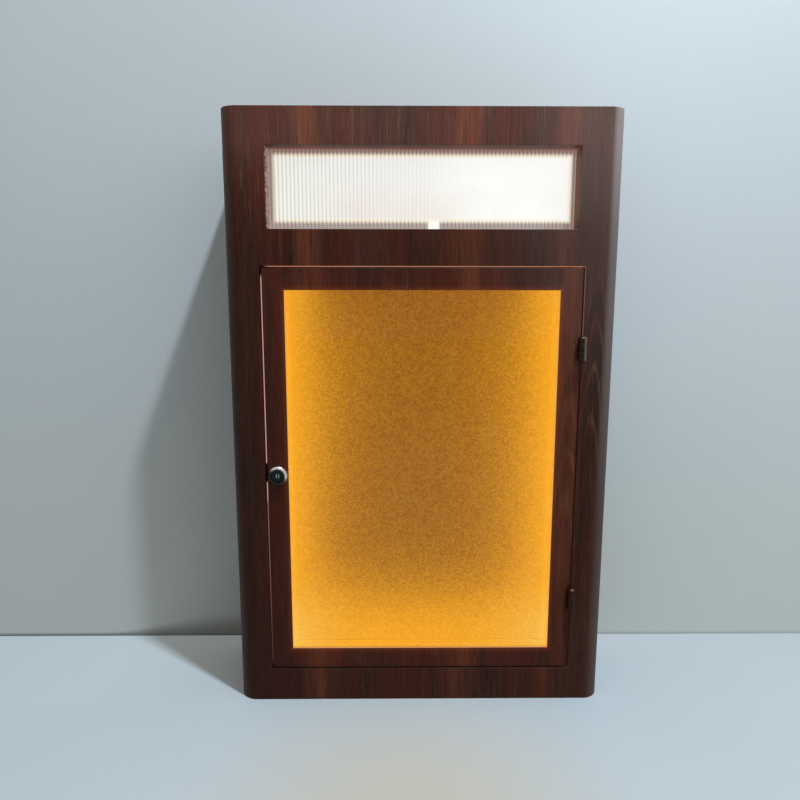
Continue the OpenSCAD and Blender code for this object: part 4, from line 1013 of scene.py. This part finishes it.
def channel_opal_finish(name, glow, along):
    """Strip of opal plastic in the panel's amber, slightly brighter over its chips."""
    def build(net, place):
        beat = net.math("SINE", net.split(place)[along] * (2.0 * math.pi / CHIP_PITCH))
        lit, fine, _ = amber(net, place, glow)
        spots = net.ramp(beat, -1.0, 1.0, 0.0, 0.12) + fine * 0.05
        return {"Base Color": net.mix(fine, (0.20, 0.10, 0.02), (0.28, 0.15, 0.04)),
                "Emission Color": net.mix(spots, lit, (1.0, 0.55, 0.10)),
                "Normal": net.bump(fine, 0.03 * MM)}
    return finish(name, build, Roughness=0.4, Emission_Strength=1.0)


def drawn_aluminium(name, along, glow):
    """Anodised extrusion with drawing lines, and painted amber light on its part before the panel."""
    def build(net, place):
        tone, scratch, height = net.use("Metal", Vector=place,
                                        Stretch=lengthwise(along, 25.0, 2600.0))
        soft, edge = net.use("Soft edges", Radius=0.3 * MM)
        ahead = PANEL_LOW[1] - net.split(place)[1]
        # Painted light: before the panel, a dark base with the panel's amber painted on as emission.
        painted_amber_light = net.ramp(ahead, -0.5 * MM, 0.5 * MM)
        colour = net.mix(tone, (0.60, 0.605, 0.615), (0.74, 0.745, 0.75))
        colour = net.mix(edge * 0.4, colour, (0.88, 0.88, 0.88))
        colour = net.mix(painted_amber_light, colour, (0.05, 0.02, 0.001))
        rough = net.ramp(tone, 0.0, 1.0, 0.28, 0.38) + scratch * 0.1
        return {"Base Color": colour, "Roughness": rough, "Normal": net.bump(height, 0.03 * MM, soft),
                "Emission Color": net.mix(painted_amber_light, UNLIT, amber(net, place, glow)[0])}
    return finish(name, build, Metallic=1.0, Emission_Strength=1.0)


def plastic(name, base, second, rough, grain):
    """Moulded plastic or rubber with stipple, worn edges and dust."""
    def build(net, place):
        waves, stipple = net.use("Moulded", Vector=place, Grain=grain)
        soft, edge = net.use("Soft edges", Radius=0.5 * MM)
        dust, smudge = net.use("Handling", Vector=place, Dust=0.35, Smudge=0.5)
        colour = net.mix(waves, base, second)
        rubbed = tuple(min(1.0, v * 1.5 + 0.02) for v in second)
        colour = net.mix(edge * 0.35, colour, rubbed)
        colour = net.mix(dust, colour, (0.45, 0.43, 0.40))
        shine = net.ramp(stipple, 0.2, 0.8, rough, rough + 0.14) - smudge * 0.08
        return {"Base Color": colour, "Roughness": shine,
                "Normal": net.bump(stipple, 0.04 * MM, soft)}
    return finish(name, build)


class CASE_OT_channels(bpy.types.Operator):
    """Light channels round the display panel, the driver and the leads"""
    bl_idname = "case.channels"
    bl_label = "Light channels, driver and leads"

    def execute(self, context):
        effects()
        glow = context.scene.case_glow
        for side, along in (("left", 2), ("right", 2), ("bottom", 0)):
            strip = "led_strip_" + side
            dress(channel_opal_finish("Opal " + side, glow, along), "led_diffuser_" + side)
            dress(drawn_aluminium("Channel " + side, along, glow), "led_channel_" + side)
            dress(strip_finish("Strip " + side, strip, (1.0, 0.60, 0.20)), strip)
        dress(plastic("White plastic", (0.70, 0.70, 0.68), (0.76, 0.76, 0.74), 0.40, 1500.0),
              "led_driver", "header_spacers")
        dress(plastic("Lead sheath", (0.020, 0.020, 0.021), (0.030, 0.030, 0.031), 0.38, 2200.0),
              "internal_leads")
        return {"FINISHED"}


# Door glass and rubber

def glass_finish():
    """Clear pane; its roughness changes slightly where it was wiped."""
    def build(net, place):
        dust, smudge = net.use("Handling", Vector=place, Dust=0.2, Smudge=1.0)
        return {"Roughness": smudge * 0.012 + dust * 0.1,
                "Base Color": net.mix(smudge, (0.985, 0.99, 0.985), (0.97, 0.98, 0.975))}
    return finish("Pane glass", build, Transmission_Weight=1.0, IOR=1.22)


class CASE_OT_glazing(bpy.types.Operator):
    """Pane of glass, seal and grommet"""
    bl_idname = "case.glazing"
    bl_label = "Glass and rubber"

    def execute(self, context):
        effects()
        dress(glass_finish(), "door_glass")
        dress(plastic("Black rubber", (0.016, 0.016, 0.017), (0.024, 0.024, 0.025), 0.62, 1700.0),
              "door_seal", "cable_grommet")
        return {"FINISHED"}


# Hinges, lock and screws

HINGE_X = sum(corner[0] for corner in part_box("hinge_upper_pin")) / 2
LOCK_X, _, LOCK_Z = (sum(pair) / 2 for pair in zip(*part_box("lock_plug")))


def bronzed(name, base, pale):
    """Dark bronze plating, rubbed brighter on its edges; pale sets a painted highlight on its right.
    """
    def build(net, place):
        tone, scratch, height = net.use("Metal", Vector=place, Stretch=(900.0, 900.0, 300.0))
        soft, edge = net.use("Soft edges", Radius=0.4 * MM)
        rub = edge * net.ramp(net.noise(place, 240.0), 0.35, 0.60)
        colour = net.mix(tone, base, toned(base, 1.7))
        # Painted highlight: the right side is paler, as strong as pale.
        side = net.ramp(net.split(place)[0] - HINGE_X, 0.2 * MM, 2.2 * MM)
        colour = net.mix(side * pale, colour, (0.36, 0.26, 0.22))
        colour = net.mix(rub * 0.5, colour, (0.20, 0.135, 0.10))
        colour = net.mix(scratch * 0.4, colour, (0.20, 0.15, 0.12))
        rough = net.ramp(tone, 0.0, 1.0, 0.42, 0.56) - rub * 0.08
        return {"Base Color": colour, "Roughness": rough, "Normal": net.bump(height, 0.04 * MM, soft)}
    return finish(name, build, Metallic=1.0, Specular_Tint=(0.62, 0.42, 0.32))


def plated(name, base, second, rough, stain):
    """Bright plating: slow stains, fine lines and brighter edges."""
    def build(net, place):
        tone, scratch, height = net.use("Metal", Vector=place, Stretch=(1200.0, 400.0, 1200.0))
        soft, edge = net.use("Soft edges", Radius=0.3 * MM)
        cloud = net.noise(place, stain, (1.4, 6.8, 2.7), 3.0, 0.6)
        colour = net.mix(net.ramp(cloud, 0.35, 0.65), base, second)
        colour = net.mix(edge * 0.4, colour, toned(base, 1.4))
        shine = net.ramp(tone, 0.0, 1.0, rough, rough + 0.10) + scratch * 0.08
        return {"Base Color": colour, "Roughness": shine,
                "Normal": net.bump(height, 0.02 * MM, soft)}
    return finish(name, build, Metallic=1.0)


def lock_ring_finish(chrome):
    """Polished ring, bright at upper right, painted shade at lower left and in its dish, dull behind
    the door.
    """
    def build(net, place):
        x, y, z = net.split(place)
        right = x - LOCK_X
        up = z - LOCK_Z
        radius = net.measure("LENGTH", net.join(right, up))
        # Painted shade: the ring's lower left and its dish are painted dark; a painted highlight lies
        # on its right rim.
        bright = net.ramp(right * 0.55 + up * 0.85, -1 * MM, 6.2 * MM)
        tone, scratch, height = net.use("Metal", Vector=place, Stretch=(1500.0, 500.0, 1500.0))
        colour = net.mix(bright, (0.014, 0.016, 0.013), chrome)
        rim = net.ramp(radius, 9.2 * MM, 10 * MM) * net.ramp(right, 1 * MM, 6 * MM)
        colour = net.mix(rim * 0.6, colour, (0.42, 0.36, 0.34))
        dish = net.ramp(radius, 8.4 * MM, 7.4 * MM)
        colour = net.mix(dish * 0.95, colour, (0.010, 0.013, 0.010))
        colour = net.mix(tone * 0.06, colour, toned(chrome, 0.6))
        rear = net.ramp(y - FRONT_Y, 0.0, 1 * MM)
        colour = net.mix(rear, colour, (0.42, 0.42, 0.41))
        shine = net.ramp(tone, 0.0, 1.0, 0.19, 0.27) + scratch * 0.10
        return {"Base Color": colour, "Roughness": shine, "Normal": net.bump(height, 0.02 * MM)}
    return finish("Polished ring", build, Metallic=1.0)


def plug_finish(dark):
    """Dark plating with a painted highlight round the key slot."""
    def build(net, place):
        tone, scratch, height = net.use("Metal", Vector=place, Stretch=(1200.0, 400.0, 1200.0))
        soft, edge = net.use("Soft edges", Radius=0.3 * MM)
        off = net.vector("SUBTRACT", place, (LOCK_X, 0.0, LOCK_Z))
        away = net.measure("LENGTH", net.vector("MULTIPLY", off, (1.0, 0.0, 0.75)))
        # Painted highlight: a pale glint round the key slot.
        worn = net.ramp(away, 2.6 * MM, 1 * MM) * net.ramp(tone, 0.0, 0.7, 0.6, 1.0)
        colour = net.mix(tone, dark, toned(dark, 1.6))
        colour = net.mix(edge * 0.4, colour, (0.06, 0.07, 0.06))
        colour = net.mix(worn * 0.8, colour, (0.60, 0.66, 0.60))
        shine = net.ramp(tone, 0.0, 1.0, 0.14, 0.26) + worn * 0.25 + scratch * 0.08
        return {"Base Color": colour, "Roughness": shine, "Normal": net.bump(height, 0.02 * MM, soft)}
    return finish("Dark chrome", build, Metallic=1.0)


class CASE_OT_hinges(bpy.types.Operator):
    """Two butt hinges with their pins and screws"""
    bl_idname = "case.hinges"
    bl_label = "Hinges"

    def execute(self, context):
        effects()
        bronze = context.scene.case_hardware.bronze
        brown = (bronze[0] * 1.10, bronze[1] * 0.85, bronze[2] * 0.80)
        # The upper hinge gets a strong painted highlight down its right side, the lower one a faint
        # one.
        for place, pale, tone in (("upper", 0.6, bronze), ("lower", 0.06, brown)):
            dress(bronzed(f"Bronzed {place} leaves", tone, pale),
                  f"hinge_{place}_frame_leaf", f"hinge_{place}_door_leaf")
            dress(bronzed(f"Bronzed {place} pin", toned(tone, 1.3), pale),
                  f"hinge_{place}_pin")
        dress(bronzed("Bronzed screws", toned(bronze, 1.5), 0.0),
              "hinge_frame_screws", "hinge_door_screws")
        return {"FINISHED"}


class CASE_OT_lock(bpy.types.Operator):
    """Cam lock: ring and barrel, plug, nut, cam, screw and strike"""
    bl_idname = "case.lock"
    bl_label = "Lock"

    def execute(self, context):
        effects()
        hardware = context.scene.case_hardware
        dress(lock_ring_finish(hardware.chrome), "lock_body")
        dress(plug_finish(hardware.plug), "lock_plug")
        zinc = hardware.zinc
        dress(plated("Zinc plate", zinc, toned(zinc, 0.82), 0.30, 60.0),
              "lock_nut", "lock_cam", "cam_screw", "strike_plate", "strike_screws")
        return {"FINISHED"}


class CASE_OT_fixings(bpy.types.Operator):
    """Hanger plates and the screws of cover, tray, channels and driver"""
    bl_idname = "case.fixings"
    bl_label = "Fixings"

    def execute(self, context):
        effects()
        zinc = context.scene.case_hardware.zinc
        warm = (zinc[0] * 0.98, zinc[1] * 0.90, zinc[2] * 0.74)
        dress(plated("Zinc fixings", zinc, warm, 0.32, 90.0), "rear_cover_screws", "hanger_plates",
              "hanger_screws", "header_tray_screws", "channel_screws", "driver_screws")
        return {"FINISHED"}


# Stage

def stage_sheet(name, corners):
    """A large flat sheet from four corners."""
    mesh = bpy.data.meshes.new(name)
    mesh.from_pydata(corners, [], [tuple(range(len(corners)))])
    sheet = bpy.data.objects.new(name, mesh)
    bpy.context.scene.collection.objects.link(sheet)
    return mesh


WALL_FOOT_LIGHT_TINT = (0.395, 0.408, 0.384)


def wall_tone(net, place, shade):
    """Painted light on the wall: paler to the right, darker just above the floor and behind the
    case's left.
    """
    x, _, z = net.split(place)
    # Painted light: the wall's tint turns greyer and less blue towards the floor, where less of the
    # cool overhead light falls.
    shade = net.mix(net.ramp(z, 0.42, 0.05, 0.0, 0.8), shade, WALL_FOOT_LIGHT_TINT)
    # Painted shade: a dark wedge above the floor behind the case's left, and a thin dark line all
    # along the foot.
    rise = net.ramp(x, -0.42, -0.22, 4 * MM, 26 * MM)
    left = net.ramp(z / rise, 0.15, 1.5, 0.45, 1.0)
    gain = (net.ramp(x, -0.25, 0.35, 0.97, 1.13) * net.ramp(z, 0.60, 1.05, 1.0, 0.95)
            * net.between(net.ramp(x, 0.0, -0.1), 1.0, left)
            * net.ramp(z, 0.8 * MM, 4.5 * MM, 0.72, 1.0))
    return net.scaled(shade, gain)


POOL_X, POOL_Y = -0.015, -0.270
POOL_HALF_X, POOL_HALF_Y = 0.260, 0.300
POOL_COLOUR = (0.318, 0.287, 0.232)


def floor_tone(net, place, shade):
    """The floor, painted: a warm pool of light before the case, and a slightly paler strip at its
    left.
    """
    x, y, _ = net.split(place)
    off = net.join((x - POOL_X) / POOL_HALF_X, (y - POOL_Y) / POOL_HALF_Y)
    pool = net.ramp(net.measure("LENGTH", off), 1.0, 0.0, 0.0, 0.9)
    strip = net.ramp(x, -0.12, -0.22) * net.ramp(x, -0.60, -0.36)
    painted_lift = net.ramp(y - x * 0.45, 0.05, 0.17, 1.0, 1.04)
    shade = net.mix(pool, shade, POOL_COLOUR)
    return net.scaled(shade, net.between(strip, 1.0, painted_lift))


def stage_finish(name, colour, wall):
    """Matt painted sheet, seen from its front alone; a wall also lets all soft light through."""
    made = bpy.data.materials.new(name)
    net = empty_tree(made)
    place = net.take("Object", "TexCoord")
    fine = net.noise(place, 420.0)
    tone = net.noise(place, 1.7, detail=3.0) * 0.7 + fine * 0.3
    shade = net.mix(net.ramp(tone, 0.3, 0.7), toned(colour, 0.97), toned(colour, 1.03))
    shade = wall_tone(net, place, shade) if wall else floor_tone(net, place, shade)
    paint = net.node("BsdfPrincipled", {"Base Color": shade, "Roughness": 0.7,
                                        "Normal": net.bump(fine, 0.04 * MM)})
    clear = net.node("BsdfTransparent")
    hidden = net.take("Backfacing", "NewGeometry")
    if wall:
        hidden = net.most(hidden, 1.0 - net.seen())
    both = net.node("MixShader", {0: hidden, 1: paint.outputs[0], 2: clear.outputs[0]})
    net.node("OutputMaterial", {"Surface": both.outputs[0]})
    return made


SKY_OVERHEAD = (0.96, 0.93, 0.84)
SKY_LEVEL = (0.12, 0.115, 0.10)
SKY_LEFT = (0.50, 0.48, 0.42)
PATCH = (0.86, -0.42, 0.29)
PATCH_COLOUR = (1.30, 1.40, 1.48)
BACKDROP = (0.50, 0.54, 0.56)


def sky(strength):
    """Light all round: bright overhead, dim ahead, mild at the left, a pale patch at the right.

    The camera, gloss and glass see one plain pale tone instead.
    """
    world = bpy.data.worlds.new("Soft room")
    bpy.context.scene.world = world
    net = empty_tree(world)
    way = net.take("Generated", "TexCoord")
    x, _, z = net.split(way)
    level = net.mix(net.ramp(x, -0.45, -0.95), SKY_LEVEL, SKY_LEFT)
    colour = net.mix(net.ramp(z, 0.05, 0.9), level, SKY_OVERHEAD)
    patch = net.ramp(net.measure("DOT_PRODUCT", way, PATCH), 0.55, 0.97)
    colour = net.mix(patch, colour, PATCH_COLOUR)
    colour = net.mix(net.seen(), colour, BACKDROP)
    back = net.node("Background", {"Color": colour, "Strength": strength})
    net.node("OutputWorld", {"Surface": back.outputs[0]})


def area_lamp(name, place, target, size, power, colour):
    """A square lamp that looks at a point."""
    data = bpy.data.lights.new(name, "AREA")
    data.size, data.energy, data.color = size, power, colour
    lamp = bpy.data.objects.new(name, data)
    bpy.context.scene.collection.objects.link(lamp)
    away = np.array(target) - np.array(place)
    away = away / np.linalg.norm(away)
    lamp.location = place
    lamp.rotation_euler = (math.acos(-away[2]), 0.0, math.atan2(away[1], away[0]) - math.pi / 2)


STAGE_REACH = 6.0
KEY_PLACE = (0.39, -0.53, 2.09)
KEY_TARGET = (0.0, 0.0, 0.25)
KEY_SIZE = 0.08
KEY_COLOUR = (0.80, 0.91, 1.0)
CAMERA_PLACE = (-0.0285, -0.7349, 0.4463)
CAMERA_DOWN, CAMERA_RIGHT, CAMERA_ROLL = 9.13, 0.49, -0.05
SENSOR_WIDTH = 36.0


class CASE_OT_stage(bpy.types.Operator):
    """Floor, wall, lamp, sky and camera"""
    bl_idname = "case.stage"
    bl_label = "Stage and camera"

    def execute(self, context):
        settings = context.scene.case_stage
        wall_y = FRONT_Y + settings.wall_gap
        far = STAGE_REACH
        floor = stage_sheet("stage_floor", [(-far, -far, 0.0), (far, -far, 0.0),
                                            (far, far, 0.0), (-far, far, 0.0)])
        floor.materials.append(stage_finish("Floor paint", settings.floor, False))
        wall = stage_sheet("stage_wall", [(-far, wall_y, 0.0), (far, wall_y, 0.0),
                                          (far, wall_y, far), (-far, wall_y, far)])
        wall.materials.append(stage_finish("Wall paint", settings.wall, True))
        sky(settings.sky)
        area_lamp("key", KEY_PLACE, KEY_TARGET, KEY_SIZE, settings.key, KEY_COLOUR)

        data = bpy.data.cameras.new("camera")
        data.sensor_width, data.lens, data.clip_start = SENSOR_WIDTH, settings.lens, 10 * MM
        camera = bpy.data.objects.new("camera", data)
        context.scene.collection.objects.link(camera)
        camera.location = CAMERA_PLACE
        camera.rotation_euler = (math.radians(90.0 - CAMERA_DOWN), math.radians(CAMERA_ROLL),
                                 math.radians(-CAMERA_RIGHT))
        context.scene.camera = camera
        context.scene.view_settings.view_transform = "Standard"
        return {"FINISHED"}


# Panel and registration

SETTINGS = (("case_film", CaseFilmSettings), ("case_glow", CaseGlowSettings),
            ("case_hardware", CaseHardwareSettings), ("case_stage", CaseStageSettings))
OPERATORS = (CASE_OT_film, CASE_OT_inner_boards, CASE_OT_header, CASE_OT_panel,
             CASE_OT_channels, CASE_OT_glazing, CASE_OT_hinges, CASE_OT_lock, CASE_OT_fixings,
             CASE_OT_stage)


class CASE_PT_panel(bpy.types.Panel):
    """Lists the case's operators and settings"""
    bl_label = "Display case"
    bl_idname = "CASE_PT_panel"
    bl_space_type = "VIEW_3D"
    bl_region_type = "UI"
    bl_category = "Display case"

    def draw(self, context):
        for made in OPERATORS:
            self.layout.operator(made.bl_idname)
        for key, group in SETTINGS:
            box = self.layout.box()
            for name in group.__annotations__:
                box.prop(getattr(context.scene, key), name)


def register():
    """Register settings, operators and panel."""
    for key, group in SETTINGS:
        bpy.utils.register_class(group)
        setattr(bpy.types.Scene, key, PointerProperty(type=group))
    for made in (*OPERATORS, CASE_PT_panel):
        bpy.utils.register_class(made)


def unregister():
    """Undo register()."""
    for made in (CASE_PT_panel, *reversed(OPERATORS)):
        bpy.utils.unregister_class(made)
    for key, group in reversed(SETTINGS):
        delattr(bpy.types.Scene, key)
        bpy.utils.unregister_class(group)


def main():
    """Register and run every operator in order."""
    register()
    for made in OPERATORS:
        area, name = made.bl_idname.split(".")
        getattr(getattr(bpy.ops, area), name)()
    bpy.context.view_layer.update()


if __name__ == "__main__":
    main()
